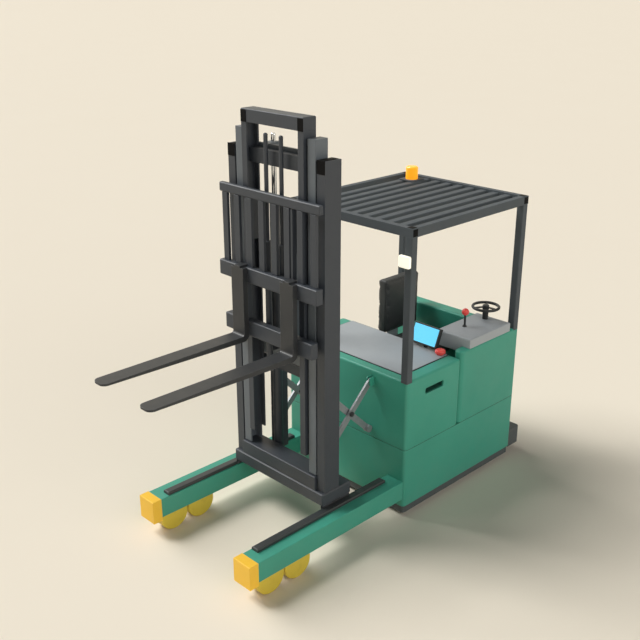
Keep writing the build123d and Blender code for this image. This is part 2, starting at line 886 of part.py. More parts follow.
def outer_mast():
    """Channels, rear ties and end caps of the fixed stage."""
    y_range = (outer_front, outer_rear)
    right = channel(outer_inner_x, outer_outer_x, y_range, (base_top, outer_top), outer_steel)
    ties = [block((-outer_inner_x, outer_inner_x), (outer_rear - outer_tie_depth, outer_rear),
                  (level, level + outer_tie_height)) for level in (outer_tie_low, outer_tie_high)]
    cap = block((outer_inner_x, outer_outer_x), (outer_front - cap_thickness, outer_front),
                (outer_top - cap_height, outer_top + cap_thickness))
    lid = block((outer_inner_x, outer_outer_x - outer_steel), (outer_front, outer_rear - outer_steel),
                (outer_top, outer_top + cap_thickness))
    return both_sides(right), ties, both_sides(cap + lid)


def mid_mast():
    """Channels with rollers, and rear ties of which the upper one hangs on the lift rods."""
    right = channel(mid_inner_x, mid_outer_x, (mid_front, mid_rear), (mid_bottom, mid_top), mid_steel)
    gap_front = outer_front + outer_steel
    gap_rear = outer_rear - outer_steel
    roller_y = (gap_front + gap_rear) / 2
    roller_radius = (gap_rear - gap_front) / 2 - bearing_gap
    roller_end = outer_outer_x - outer_steel - wheel_running_gap
    right += stage_roller(mid_outer_x - mid_steel, roller_end, roller_y, mid_bottom + mast_roller_rise,
                          roller_radius, mast_roller_width)
    lid = block((mid_inner_x, mid_outer_x), (mid_front, mid_rear), (mid_top - mid_steel, mid_top))
    tie_y = (mid_tie_front, mid_tie_rear)
    low_tie, high_tie = [block((-mid_inner_x, mid_inner_x), tie_y, (level, level + mid_tie_height))
                         for level in (mid_tie_low, mid_tie_high)]
    lug_z = (main_lug_bottom, mid_tie_high + mid_tie_height)
    lug = block((main_lift_x - main_barrel_radius, main_lift_x + main_barrel_radius),
                (mid_tie_rear, main_lift_y + main_barrel_radius), lug_z)
    lug -= bar_z(main_lift_x, main_lift_y, lug_z, main_rod_radius)
    for side_lug in both_sides(lug):
        high_tie += side_lug
    return both_sides(right + lid), [low_tie, high_tie]


def inner_mast():
    """Channels with rollers, cross bars and black corner plates of the inner stage."""
    head_bottom = inner_top - head_bar_height
    y_range = (inner_front, inner_rear)
    right = channel(inner_inner_x, inner_outer_x, y_range, (inner_bottom, head_bottom), inner_steel)
    gap_front = mid_front + mid_steel
    gap_rear = mid_rear - mid_steel
    roller_radius = (gap_rear - gap_front) / 2 - bearing_gap
    roller_end = mid_outer_x - mid_steel - wheel_running_gap
    right += stage_roller(inner_outer_x - inner_steel, roller_end, (gap_front + gap_rear) / 2,
                          inner_bottom + mast_roller_rise, roller_radius, mast_roller_width)
    head = block((-inner_outer_x, inner_outer_x), y_range, (head_bottom, inner_top))
    head = fillet(head.faces().sort_by(Axis.Z)[-1].outer_wire().edges(), base_edge)
    web_x = inner_outer_x - inner_steel
    second = block((-web_x, web_x), (second_bar_front, inner_rear - inner_steel),
                   (second_bar_bottom, second_bar_bottom + second_bar_height))
    saddle_z = (saddle_bar_bottom, saddle_bar_bottom + saddle_bar_height)
    saddle_y = (inner_rear - saddle_bar_depth, inner_rear)
    saddle = block((-inner_inner_x, inner_inner_x), saddle_y, saddle_z)
    for side in (-1, 1):
        cradle_x = (side * free_lift_x - free_barrel_radius, side * free_lift_x + free_barrel_radius)
        saddle += block(cradle_x, (free_lift_y, inner_rear), saddle_z)
    for side in (-1, 1):
        saddle -= bar_z(side * free_lift_x, free_lift_y, saddle_z, free_barrel_radius)
    plate = block((inner_inner_x, inner_outer_x), (inner_front - cap_thickness, inner_front),
                  (head_bottom, inner_top - base_edge))
    return both_sides(right), [head, second, saddle], both_sides(plate)


def free_lift():
    """Barrels on the inner stage and the rods in them."""
    barrel_z = (free_barrel_bottom, free_barrel_top)
    barrel = bar_z(free_lift_x, free_lift_y, barrel_z, free_barrel_radius)
    barrel = chamfer(barrel.edges().sort_by(Axis.Z)[-1], (free_barrel_radius - free_rod_radius) / 2)
    bore_z = (free_barrel_bottom + free_rod_radius, free_barrel_top)
    barrel -= bar_z(free_lift_x, free_lift_y, bore_z, free_rod_radius + bearing_gap)
    rod = bar_z(free_lift_x, free_lift_y, (free_rod_bottom, free_rod_top), free_rod_radius)
    rod = fillet(rod.edges().sort_by(Axis.Z)[-1], free_rod_radius * 0.8)
    return both_sides(barrel), both_sides(rod)


def main_lift():
    """Barrels on the base and the rods that push the middle stage up."""
    barrel = bar_z(main_lift_x, main_lift_y, (base_top, main_barrel_top), main_barrel_radius)
    bore_z = (base_top + main_rod_radius, main_barrel_top)
    barrel -= bar_z(main_lift_x, main_lift_y, bore_z, main_rod_radius + bearing_gap)
    rod = bar_z(main_lift_x, main_lift_y, (main_rod_bottom, main_rod_top), main_rod_radius)
    rod = fillet(rod.edges().sort_by(Axis.Z)[-1], main_rod_radius * 0.8)
    return both_sides(barrel), both_sides(rod)


def carriage_bars():
    """The two cross bars that hold the forks."""
    upper = block((-upper_bar_half_width, upper_bar_half_width), (carriage_bar_front, carriage_bar_rear),
                  (upper_bar_bottom, upper_bar_top))
    lower = block((-lower_bar_half_width, lower_bar_half_width), (carriage_bar_front, carriage_bar_rear),
                  (lower_bar_bottom, lower_bar_top))
    return bevelled(upper, bar_edge), bevelled(lower, bar_edge)


def carriage_plates():
    """Upright plates that tie the bars together and carry the rollers in the inner stage."""
    x_range = (carriage_plate_x, carriage_plate_x + carriage_plate_thickness)
    top_roller = carriage_roller_low + carriage_roller_pitch
    plate_top = top_roller + carriage_plate_margin
    between = block(x_range, (carriage_bar_front, carriage_bar_rear), (lower_bar_top, upper_bar_bottom))
    upper = block(x_range, (carriage_bar_front / 2 + carriage_bar_rear / 2, carriage_bar_rear),
                  (upper_bar_top, plate_top))
    head = block(x_range, (carriage_bar_rear, carriage_plate_rear),
                 (carriage_roller_low - carriage_plate_margin, plate_top))
    gap_front = inner_front + inner_steel
    gap_rear = inner_rear - inner_steel
    roller_radius = (gap_rear - gap_front) / 2 - bearing_gap
    roller_end = inner_outer_x - inner_steel - wheel_running_gap
    plate = upper + head
    for z in (carriage_roller_low, top_roller):
        plate += stage_roller(x_range[0], roller_end, (gap_front + gap_rear) / 2, z, roller_radius,
                              carriage_roller_width)
    return both_sides(plate, between)


def load_backrest():
    """The guard above the forks: a top rail on upright bars."""
    bar_y = (rest_front, rest_front + backrest_bar_depth)
    rail = block((-rest_rail_half_width, rest_rail_half_width), (rest_front, carriage_bar_rear),
                 (rest_rail_bottom, rest_rail_top))
    frame = bevelled(rail, rest_rail_edge)
    for index in range(backrest_bar_count):
        x = (2 * index / (backrest_bar_count - 1) - 1) * rest_bar_x
        frame += block((x - backrest_bar_width / 2, x + backrest_bar_width / 2), bar_y,
                       (upper_bar_top, rest_rail_bottom))
    return frame


def fork():
    """The right-hand fork: tapered blade, curved heel, shank and top hook."""
    face = carriage_bar_front
    front = face - fork_thickness
    bottom = fork_top - fork_thickness
    outline = Polyline((face, upper_bar_top), (face, bottom), (front, bottom),
                       (fork_tip, fork_top - fork_tip_thickness), (fork_tip, fork_top), (front, fork_top),
                       (front, upper_bar_top), close=True)
    profile = make_face(Plane.YZ * outline)
    blade = Pos(fork_x - fork_width / 2, 0, 0) * extrude(profile, fork_width, dir=(1, 0, 0))
    heel = blade.edges().filter_by(Axis.X).sort_by_distance((fork_x, face, bottom))[0]
    blade = fillet(heel, fork_heel_radius)
    inner_heel = blade.edges().filter_by(Axis.X).sort_by_distance((fork_x, front, fork_top))[0]
    blade = fillet(inner_heel, fork_thickness / 2)
    tip = blade.edges().filter_by(Axis.Z).group_by(Axis.Y)[0]
    blade = fillet(tip, fork_tip_radius)
    hook_x = (fork_x - fork_hook_width / 2, fork_x + fork_hook_width / 2)
    hook = block(hook_x, (front, face + fork_hook_depth), (upper_bar_top, upper_bar_top + fork_hook_height))
    return blade + hook


def arm_points():
    """Ends and crossing of the scissor arms as (y, z)."""
    rear_y = -arm_pivot_standoff
    front_y = rear_y - arm_spread
    length = arm_spread / cos(radians(arm_angle))
    low_z = arm_pivot_height - length * sin(radians(arm_angle))
    crossing = ((rear_y + front_y) / 2, (arm_pivot_height + low_z) / 2)
    return (rear_y, arm_pivot_height), (front_y, low_z), (rear_y, low_z), crossing


def arm(x, slope):
    """A flat arm with round ends, centred on the crossing and sloping as given."""
    crossing = arm_points()[-1]
    length = arm_spread / cos(radians(arm_angle))
    profile = Plane.YZ * (Pos(*crossing) * Rot(0, 0, slope) * SlotCenterToCenter(length, arm_width))
    return Pos(x - arm_thickness / 2, 0, 0) * extrude(profile, arm_thickness, dir=(1, 0, 0))


def scissor_arms():
    """Right-hand arms: one hung from the body, one crossing it, and the pin between them."""
    hung_rear, hung_front, cross_rear, crossing = arm_points()
    bore = arm_pin_radius + arm_pin_gap
    hung_x = (arm_outer_x - arm_thickness / 2, arm_outer_x + arm_thickness / 2)
    cross_x = (arm_inner_x - arm_thickness / 2, arm_inner_x + arm_thickness / 2)
    hung = arm(arm_outer_x, arm_angle) - bar_x(hung_x, *hung_rear, bore)
    hung -= bar_x(hung_x, *crossing, arm_pin_radius)
    crossed = arm(arm_inner_x, -arm_angle) - bar_x(cross_x, *crossing, bore)
    roller_radius = arm_pivot_standoff - arm_roller_gap
    crossed += bar_x((cross_x[0], hung_x[1]), *cross_rear, roller_radius)
    pin = bar_x((cross_x[0] - arm_pin_head, hung_x[1]), *crossing, arm_pin_radius)
    pin += bar_x((hung_x[1], hung_x[1] + arm_pin_head), *crossing, arm_pin_head_radius)
    return hung, crossed, pin


def arm_bracket():
    """The right-hand fork bracket on the hood that holds the hung arm's pin."""
    rear, height = arm_points()[0]
    inside = arm_thickness / 2 + bracket_side_gap
    z_range = (height - bracket_half_height, height + bracket_half_height)
    outside = inside + bracket_plate
    bracket = bar_x((arm_outer_x - outside, arm_outer_x + outside), rear, height, arm_pin_radius)
    for x in (arm_outer_x - outside, arm_outer_x + inside):
        cheek = block((x, x + bracket_plate), (rear - arm_width / 2, 0), z_range)
        bracket += fillet(cheek.edges().filter_by(Axis.X).group_by(Axis.Y)[0], arm_width / 3)
    return bracket


def arm_guide():
    """The right-hand upright channel on the base, in which the front arm ends run."""
    centre_y = arm_points()[1][0] + guide_slack
    rear = centre_y + guide_half_depth
    front = centre_y - guide_half_depth
    x_range = (guide_inner_x - guide_plate, guide_outer_x + guide_plate)
    guide = block(x_range, (front - guide_plate, rear), (base_top, guide_top))
    return guide - block((guide_inner_x, guide_outer_x), (front, rear), (base_top, guide_top))


def main():
    os.makedirs("parts", exist_ok=True)
    save("chassis_tub", chassis_tub())
    save("skirt", *skirt())
    save("battery_hood", battery_hood())
    save("hood_plate", hood_plate())
    save("battery", battery())
    side_wall, rear_wall = cab_walls()
    save("cab_side_wall", side_wall)
    save("cab_rear_wall", rear_wall)
    save("floor_mat", floor_mat())
    save("console", console())
    save("steering_column", steering_column())
    save("steering_wheel", steering_wheel())
    save("joystick_lever", joystick_lever())
    save("red_knobs", joystick_knob(), stop_button())
    housing, glass = display()
    save("display_housing", housing)
    save("display_glass", glass)
    pedestal, cushion, backrest = seat()
    save("seat_pedestal", pedestal)
    save("seat_cushion", cushion)
    save("seat_backrest", backrest)
    save("guard_posts", *guard_posts())
    save("guard_corner_blocks", *guard_corner_blocks())
    save("guard_roof", guard_roof())
    save("lamp_lenses", *both_sides(lamp_lens()))
    save("beacon_lens", beacon_lens())
    save("rear_bumper", rear_bumper())
    save("straddle_legs", *both_sides(straddle_leg()))
    save("leg_caps", *both_sides(leg_cap()))
    save("bogies", *both_sides(bogie()))
    for place, y in zip(("front", "rear"), wheel_places()):
        wheel = load_wheel(y)
        save(f"load_wheel_right_{place}", wheel)
        save(f"load_wheel_left_{place}", mirrored(wheel))
    save("drive_turntable", drive_turntable())
    save("drive_motor", drive_motor())
    tyre, hub = drive_wheel()
    save("drive_tyre", tyre)
    save("drive_hub", hub)
    save("mast_rails", *both_sides(mast_rail()))
    save("mast_base", mast_base())
    channels, ties, caps = outer_mast()
    save("outer_mast_channels", *channels)
    save("outer_mast_ties", *ties)
    save("outer_mast_caps", *caps)
    channels, ties = mid_mast()
    save("mid_mast_channels", *channels)
    save("mid_mast_ties", *ties)
    channels, bars, plates = inner_mast()
    save("inner_mast_channels", *channels)
    save("inner_mast_bars", *bars)
    save("inner_mast_caps", *plates)
    barrels, rods = free_lift()
    save("free_lift_barrels", *barrels)
    save("free_lift_rods", *rods)
    barrels, rods = main_lift()
    save("main_lift_barrels", *barrels)
    save("main_lift_rods", *rods)
    save("carriage_bars", *carriage_bars())
    save("carriage_plates", *carriage_plates())
    save("load_backrest", load_backrest())
    save("forks", *both_sides(fork()))
    hung, crossed, pin = scissor_arms()
    save("hung_arms", *both_sides(hung))
    save("crossed_arms", *both_sides(crossed))
    save("arm_pins", *both_sides(pin))
    save("arm_brackets", *both_sides(arm_bracket()))
    save("arm_guides", *both_sides(arm_guide()))


main()
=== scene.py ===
from math import cos, exp, pi, radians, sin

import bmesh
import bpy
from mathutils import Matrix, Vector
from mathutils.bvhtree import BVHTree


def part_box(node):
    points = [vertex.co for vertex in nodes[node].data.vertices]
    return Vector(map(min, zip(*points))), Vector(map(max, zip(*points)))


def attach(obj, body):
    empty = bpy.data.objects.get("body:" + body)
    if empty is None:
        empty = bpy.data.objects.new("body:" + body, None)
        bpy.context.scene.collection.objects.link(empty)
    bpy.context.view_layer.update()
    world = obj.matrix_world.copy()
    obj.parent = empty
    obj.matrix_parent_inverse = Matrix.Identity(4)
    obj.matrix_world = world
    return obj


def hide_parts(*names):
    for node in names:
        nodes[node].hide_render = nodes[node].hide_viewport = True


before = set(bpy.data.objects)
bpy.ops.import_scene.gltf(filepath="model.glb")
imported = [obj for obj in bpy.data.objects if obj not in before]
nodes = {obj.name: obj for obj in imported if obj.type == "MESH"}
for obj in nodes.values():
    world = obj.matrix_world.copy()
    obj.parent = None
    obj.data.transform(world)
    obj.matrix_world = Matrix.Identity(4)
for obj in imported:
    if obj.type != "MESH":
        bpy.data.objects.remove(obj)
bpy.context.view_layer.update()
scene = bpy.context.scene
print("frame loaded:", len(nodes), "nodes")


# small helpers

def linear(hexColour):
    # "#rrggbb" as the eye sees it, to the linear colour that shaders use
    channels = [int(hexColour[i:i + 2], 16) / 255 for i in (1, 3, 5)]
    return tuple([c / 12.92 if c <= 0.04045 else ((c + 0.055) / 1.055) ** 2.4 for c in channels] + [1])


def link(obj):
    scene.collection.objects.link(obj)
    return obj


def makeObject(name, mesh, material):
    obj = link(bpy.data.objects.new(name, mesh))
    mesh.materials.clear()
    mesh.materials.append(material)
    return obj


def meshFromBm(name, bm):
    mesh = bpy.data.meshes.new(name)
    bm.to_mesh(mesh)
    bm.free()
    return mesh


def middleOf(name):
    low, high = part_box(name)
    return (low + high) / 2


# shader node groups that several finishes share

def newGroup(name, inputs, outputs):
    group = bpy.data.node_groups.new(name, "ShaderNodeTree")
    for label, kind, value in inputs:
        socket = group.interface.new_socket(label, in_out="INPUT", socket_type=kind)
        socket.default_value = value
    for label, kind in outputs:
        group.interface.new_socket(label, in_out="OUTPUT", socket_type=kind)
    start = group.nodes.new("NodeGroupInput")
    end = group.nodes.new("NodeGroupOutput")
    return group, start, end


def addNode(tree, kind, **values):
    node = tree.nodes.new(kind)
    for key, value in values.items():
        if key in node.inputs:
            node.inputs[key].default_value = value
        else:
            setattr(node, key, value)
    return node


def noise(tree, coords, scale, detail=3.0, rough=0.5):
    node = addNode(tree, "ShaderNodeTexNoise", Scale=scale, Detail=detail, Roughness=rough)
    tree.links.new(coords, node.inputs["Vector"])
    return node.outputs["Fac"]


def remap(tree, value, low, high, outLow=0.0, outHigh=1.0):
    node = tree.nodes.new("ShaderNodeMapRange")
    node.inputs["From Min"].default_value = low
    node.inputs["From Max"].default_value = high
    node.inputs["To Min"].default_value = outLow
    node.inputs["To Max"].default_value = outHigh
    tree.links.new(value, node.inputs["Value"])
    return node.outputs["Result"]


def maths(tree, operation, first, second):
    node = tree.nodes.new("ShaderNodeMath")
    node.operation = operation
    for index, value in enumerate((first, second)):
        if isinstance(value, (int, float)):
            node.inputs[index].default_value = value
        else:
            tree.links.new(value, node.inputs[index])
    return node.outputs[0]


def mixColour(tree, fac, first, second):
    node = tree.nodes.new("ShaderNodeMix")
    node.data_type = "RGBA"
    for socket, value in ((node.inputs[0], fac), (node.inputs[6], first), (node.inputs[7], second)):
        if isinstance(value, (int, float, tuple)):
            socket.default_value = value
        else:
            tree.links.new(value, socket)
    return node.outputs[2]


def buildPaintGroup():
    # sprayed paint: slow tone drift, fine orange peel, worn edges and a veil of dust near the floor
    group, start, end = newGroup("sprayedPaint", [
        ("Colour", "NodeSocketColor", (0.1, 0.3, 0.2, 1)),
        ("Worn Colour", "NodeSocketColor", (0.4, 0.5, 0.45, 1)),
        ("Edge Width", "NodeSocketFloat", 0.004),
        ("Edge Wear", "NodeSocketFloat", 0.5),
        ("Dust", "NodeSocketFloat", 0.25),
        ("Base Roughness", "NodeSocketFloat", 0.42),
    ], [("Colour", "NodeSocketColor"), ("Roughness", "NodeSocketFloat"), ("Height", "NodeSocketFloat"),
        ("Normal", "NodeSocketVector")])
    coords = group.nodes.new("ShaderNodeTexCoord").outputs["Object"]
    drift = noise(group, coords, scale=1.7, detail=2.0)
    tone = remap(group, drift, 0.3, 0.7, 0.94, 1.05)
    toned = addNode(group, "ShaderNodeHueSaturation")
    group.links.new(start.outputs["Colour"], toned.inputs["Color"])
    group.links.new(tone, toned.inputs["Value"])

    # edges: where the rounded normal leaves the true one
    bevel = group.nodes.new("ShaderNodeBevel")
    bevel.samples = 6
    group.links.new(start.outputs["Edge Width"], bevel.inputs["Radius"])
    geometry = group.nodes.new("ShaderNodeNewGeometry")
    dot = group.nodes.new("ShaderNodeVectorMath")
    dot.operation = "DOT_PRODUCT"
    group.links.new(bevel.outputs["Normal"], dot.inputs[0])
    group.links.new(geometry.outputs["Normal"], dot.inputs[1])
    edge = remap(group, dot.outputs["Value"], 0.99, 0.80)
    broken = remap(group, noise(group, coords, scale=38.0, detail=4.0, rough=0.65), 0.35, 0.72)
    wear = maths(group, "MULTIPLY", maths(group, "MULTIPLY", edge, broken), start.outputs["Edge Wear"])
    wornColour = mixColour(group, wear, toned.outputs["Color"], start.outputs["Worn Colour"])

    # dust: thickest at the floor, gone about 0.6 m up
    split = group.nodes.new("ShaderNodeSeparateXYZ")
    group.links.new(coords, split.inputs[0])
    low = remap(group, split.outputs["Z"], 0.62, 0.02)
    patches = remap(group, noise(group, coords, scale=6.5, detail=5.0, rough=0.6), 0.30, 0.75)
    dust = maths(group, "MULTIPLY", maths(group, "MULTIPLY", low, patches), start.outputs["Dust"])
    dusty = mixColour(group, dust, wornColour, linear("#8f8877"))
    group.links.new(dusty, end.inputs["Colour"])

    blotches = remap(group, noise(group, coords, scale=11.0, detail=4.0), 0.3, 0.7, -0.05, 0.06)
    rough = maths(group, "ADD", maths(group, "ADD", start.outputs["Base Roughness"], blotches),
                  maths(group, "MULTIPLY", dust, 0.4))
    group.links.new(rough, end.inputs["Roughness"])
    peel = noise(group, coords, scale=420.0, detail=2.0)
    group.links.new(peel, end.inputs["Height"])
    group.links.new(bevel.outputs["Normal"], end.inputs["Normal"])
    return group


def buildGrainGroup():
    # moulded plastic or rubber: pebble grain, scuffs and rounded edges
    group, start, end = newGroup("mouldedGrain", [
        ("Colour", "NodeSocketColor", (0.05, 0.05, 0.05, 1)),
        ("Scuff Colour", "NodeSocketColor", (0.2, 0.2, 0.2, 1)),
        ("Grain Scale", "NodeSocketFloat", 500.0),
        ("Scuffs", "NodeSocketFloat", 0.3),
        ("Edge Width", "NodeSocketFloat", 0.003),
        ("Base Roughness", "NodeSocketFloat", 0.55),
    ], [("Colour", "NodeSocketColor"), ("Roughness", "NodeSocketFloat"), ("Height", "NodeSocketFloat"),
        ("Normal", "NodeSocketVector")])
    coords = group.nodes.new("ShaderNodeTexCoord").outputs["Object"]
    pebbles = addNode(group, "ShaderNodeTexVoronoi", feature="SMOOTH_F1")
    group.links.new(coords, pebbles.inputs["Vector"])
    group.links.new(start.outputs["Grain Scale"], pebbles.inputs["Scale"])
    scuffs = remap(group, noise(group, coords, scale=14.0, detail=6.0, rough=0.68), 0.52, 0.72)
    scuffed = maths(group, "MULTIPLY", scuffs, start.outputs["Scuffs"])
    group.links.new(mixColour(group, scuffed, start.outputs["Colour"], start.outputs["Scuff Colour"]),
                    end.inputs["Colour"])
    drift = remap(group, noise(group, coords, scale=9.0, detail=3.0), 0.3, 0.7, -0.06, 0.06)
    group.links.new(maths(group, "ADD", start.outputs["Base Roughness"], drift), end.inputs["Roughness"])
    group.links.new(pebbles.outputs["Distance"], end.inputs["Height"])
    bevel = group.nodes.new("ShaderNodeBevel")
    bevel.samples = 6
    group.links.new(start.outputs["Edge Width"], bevel.inputs["Radius"])
    group.links.new(bevel.outputs["Normal"], end.inputs["Normal"])
    return group


def buildBrushedGroup():
    # drawn or ground steel: fine lines along one direction, faint stains
    group, start, end = newGroup("groundSteel", [
        ("Colour", "NodeSocketColor", (0.6, 0.6, 0.6, 1)),
        ("Stretch", "NodeSocketVector", (900.0, 900.0, 14.0)),
        ("Stains", "NodeSocketFloat", 0.2),
        ("Base Roughness", "NodeSocketFloat", 0.3),
    ], [("Colour", "NodeSocketColor"), ("Roughness", "NodeSocketFloat"), ("Height", "NodeSocketFloat")])
    coords = group.nodes.new("ShaderNodeTexCoord").outputs["Object"]
    stretched = group.nodes.new("ShaderNodeVectorMath")
    stretched.operation = "MULTIPLY"
    group.links.new(coords, stretched.inputs[0])
    group.links.new(start.outputs["Stretch"], stretched.inputs[1])
    lines = noise(group, stretched.outputs["Vector"], scale=1.0, detail=2.0)
    stains = remap(group, noise(group, coords, scale=22.0, detail=5.0, rough=0.6), 0.5, 0.75)
    stained = maths(group, "MULTIPLY", stains, start.outputs["Stains"])
    tinted = mixColour(group, stained, start.outputs["Colour"], linear("#5a5148"))
    group.links.new(tinted, end.inputs["Colour"])
    streaks = remap(group, lines, 0.3, 0.7, -0.07, 0.09)
    rough = maths(group, "ADD", maths(group, "ADD", start.outputs["Base Roughness"], streaks),
                  maths(group, "MULTIPLY", stained, 0.4))
    group.links.new(rough, end.inputs["Roughness"])
    group.links.new(lines, end.inputs["Height"])
    return group


paintGroup = buildPaintGroup()
grainGroup = buildGrainGroup()
brushedGroup = buildBrushedGroup()


# finishes

def newMaterial(name):
    material = bpy.data.materials.new(name)
    material.use_nodes = True
    tree = material.node_tree
    return material, tree, tree.nodes["Principled BSDF"]


def useGroup(tree, shader, group, values, bumpStrength, bumpDistance):
    node = tree.nodes.new("ShaderNodeGroup")
    node.node_tree = group
    for key, value in values.items():
        node.inputs[key].default_value = value
    tree.links.new(node.outputs["Colour"], shader.inputs["Base Color"])
    tree.links.new(node.outputs["Roughness"], shader.inputs["Roughness"])
    bump = addNode(tree, "ShaderNodeBump", Strength=bumpStrength, Distance=bumpDistance)
    tree.links.new(node.outputs["Height"], bump.inputs["Height"])
    if "Normal" in node.outputs:
        tree.links.new(node.outputs["Normal"], bump.inputs["Normal"])
    tree.links.new(bump.outputs["Normal"], shader.inputs["Normal"])


def paint(name, colour, worn, rough=0.42, edgeWear=0.35, dust=0.2, edgeWidth=0.005, shine=0.45):
    material, tree, shader = newMaterial(name)
    useGroup(tree, shader, paintGroup, {
        "Colour": linear(colour), "Worn Colour": linear(worn), "Edge Width": edgeWidth,
        "Edge Wear": edgeWear, "Dust": dust, "Base Roughness": rough},
        bumpStrength=0.06, bumpDistance=0.0004)
    shader.inputs["Specular IOR Level"].default_value = shine
    return material


def moulded(name, colour, scuff, rough=0.55, grain=500.0, scuffs=0.25, bump=0.12, shine=0.4):
    material, tree, shader = newMaterial(name)
    useGroup(tree, shader, grainGroup, {
        "Colour": linear(colour), "Scuff Colour": linear(scuff), "Grain Scale": grain, "Scuffs": scuffs,
        "Edge Width": 0.003, "Base Roughness": rough}, bumpStrength=bump, bumpDistance=0.0006)
    shader.inputs["Specular IOR Level"].default_value = shine
    return material


def steel(name, colour, stretch, rough=0.3, stains=0.15, bump=0.05, metal=1.0):
    material, tree, shader = newMaterial(name)
    useGroup(tree, shader, brushedGroup, {
        "Colour": linear(colour), "Stretch": stretch, "Base Roughness": rough, "Stains": stains},
        bumpStrength=bump, bumpDistance=0.0003)
    shader.inputs["Metallic"].default_value = metal
    return material


lensRibs = {"tint": 0.25, "strength": 0.25, "depth": 0.0008}


def glowing(name, colour, glow, strength, ribScale, rough=0.25):
    # a ribbed lens or screen that is lit from inside
    material, tree, shader = newMaterial(name)
    shader.inputs["Base Color"].default_value = linear(colour)
    shader.inputs["Roughness"].default_value = rough
    coords = tree.nodes.new("ShaderNodeTexCoord").outputs["Object"]
    wave = addNode(tree, "ShaderNodeTexWave", Scale=ribScale, Distortion=0.0)
    tree.links.new(coords, wave.inputs["Vector"])
    ribs = maths(tree, "MULTIPLY", wave.outputs["Fac"], lensRibs["tint"])
    tint = mixColour(tree, ribs, linear(glow), linear(colour))
    tree.links.new(tint, shader.inputs["Emission Color"])
    shader.inputs["Emission Strength"].default_value = strength
    bump = addNode(tree, "ShaderNodeBump", Strength=lensRibs["strength"], Distance=lensRibs["depth"])
    tree.links.new(wave.outputs["Fac"], bump.inputs["Height"])
    tree.links.new(bump.outputs["Normal"], shader.inputs["Normal"])
    return material


bodyGreen = paint("bodyGreen", "#3e9c85", "#74bba6", rough=0.46, edgeWear=0.25, dust=0.12, edgeWidth=0.006)
mastGrey = paint("mastGrey", "#383d44", "#6f7578", rough=0.46, edgeWear=0.35, dust=0.08, edgeWidth=0.004)
guardGrey = paint("guardGrey", "#50565a", "#757b7e", rough=0.62, edgeWear=0.3, dust=0.0, edgeWidth=0.004,
                  shine=0.2)
stageGrey = paint("stageGrey", "#636a70", "#91989b", rough=0.45, edgeWear=0.35, dust=0.08, edgeWidth=0.004)
# painted shade: a darker green than the body, standing for the shade inside the grip pockets and in the seam
# groove
recessShadeGreen = paint("recessShadeGreen", "#215447", "#3f7c6c", rough=0.55, edgeWear=0.1, dust=0.0, edgeWidth=0.003)
railGrey = paint("railGrey", "#303537", "#6d7274", rough=0.4, edgeWear=0.5, dust=0.1, edgeWidth=0.003)
lidGrey = moulded("lidGrey", "#a5abae", "#949a9d", rough=0.5, grain=260.0, scuffs=0.22, bump=0.2)
consoleGrey = moulded("consoleGrey", "#a8aeb1", "#949a9d", rough=0.52, grain=700.0, scuffs=0.12)
blackPlastic = moulded("blackPlastic", "#0a0a0b", "#17181a", rough=0.6, grain=900.0, scuffs=0.12, shine=0.08)
controlBlack = moulded("controlBlack", "#242628", "#3c3e40", rough=0.45, grain=900.0, scuffs=0.12)
blackRubber = moulded("blackRubber", "#26282a", "#454644", rough=0.72, grain=650.0, scuffs=0.4, bump=0.2)
bumperRubber = moulded("bumperRubber", "#4e5253", "#656764", rough=0.66, grain=520.0, scuffs=0.35, bump=0.2)
tyreRubber = moulded("tyreRubber", "#242424", "#5a554b", rough=0.78, grain=800.0, scuffs=0.6, bump=0.25)
capYellow = paint("capYellow", "#ffca3a", "#fff2c8", rough=0.42, edgeWear=0.3, dust=0.08, edgeWidth=0.004)
wheelYellow = moulded("wheelYellow", "#dcc246", "#b39b3a", rough=0.5, grain=420.0, scuffs=0.3, bump=0.08)
knobRed = moulded("knobRed", "#f0534c", "#cb413b", rough=0.3, grain=900.0, scuffs=0.1, bump=0.03)
forkSteel = paint("forkSteel", "#2e3032", "#8d8f90", rough=0.42, edgeWear=0.8, dust=0.0, edgeWidth=0.004)
pinSteel = paint("pinSteel", "#3a3b3d", "#77797b", rough=0.4, edgeWear=0.5, dust=0.0, edgeWidth=0.002)
driveIron = paint("driveIron", "#3b3c3e", "#6f7072", rough=0.6, edgeWear=0.4, dust=0.5, edgeWidth=0.004)
batteryCase = moulded("batteryCase", "#2a2b2e", "#45464a", rough=0.6, grain=400.0, scuffs=0.3)
armSteel = steel("armSteel", "#92979a", (900.0, 60.0, 60.0), rough=0.48, metal=0.5)
rodChrome = steel("rodChrome", "#d9dbdd", (60.0, 60.0, 900.0), rough=0.12, stains=0.05, bump=0.01)
lampWhite = glowing("lampWhite", "#fbf7e4", "#fffbe8", 0.55, ribScale=60.0)
beaconAmber = glowing("beaconAmber", "#ffab24", "#ffa51c", 0.65, ribScale=45.0)
screenBlue = glowing("screenBlue", "#2f6f88", "#70dbff", 1.0, rough=0.12, ribScale=300.0)
seatThread = moulded("seatThread", "#54585a", "#3a3d3f", rough=0.6, grain=1400.0, scuffs=0.1, bump=0.3)
seatVinyl = moulded("seatVinyl", "#303334", "#404344", rough=0.5, grain=330.0, scuffs=0.15, bump=0.35)

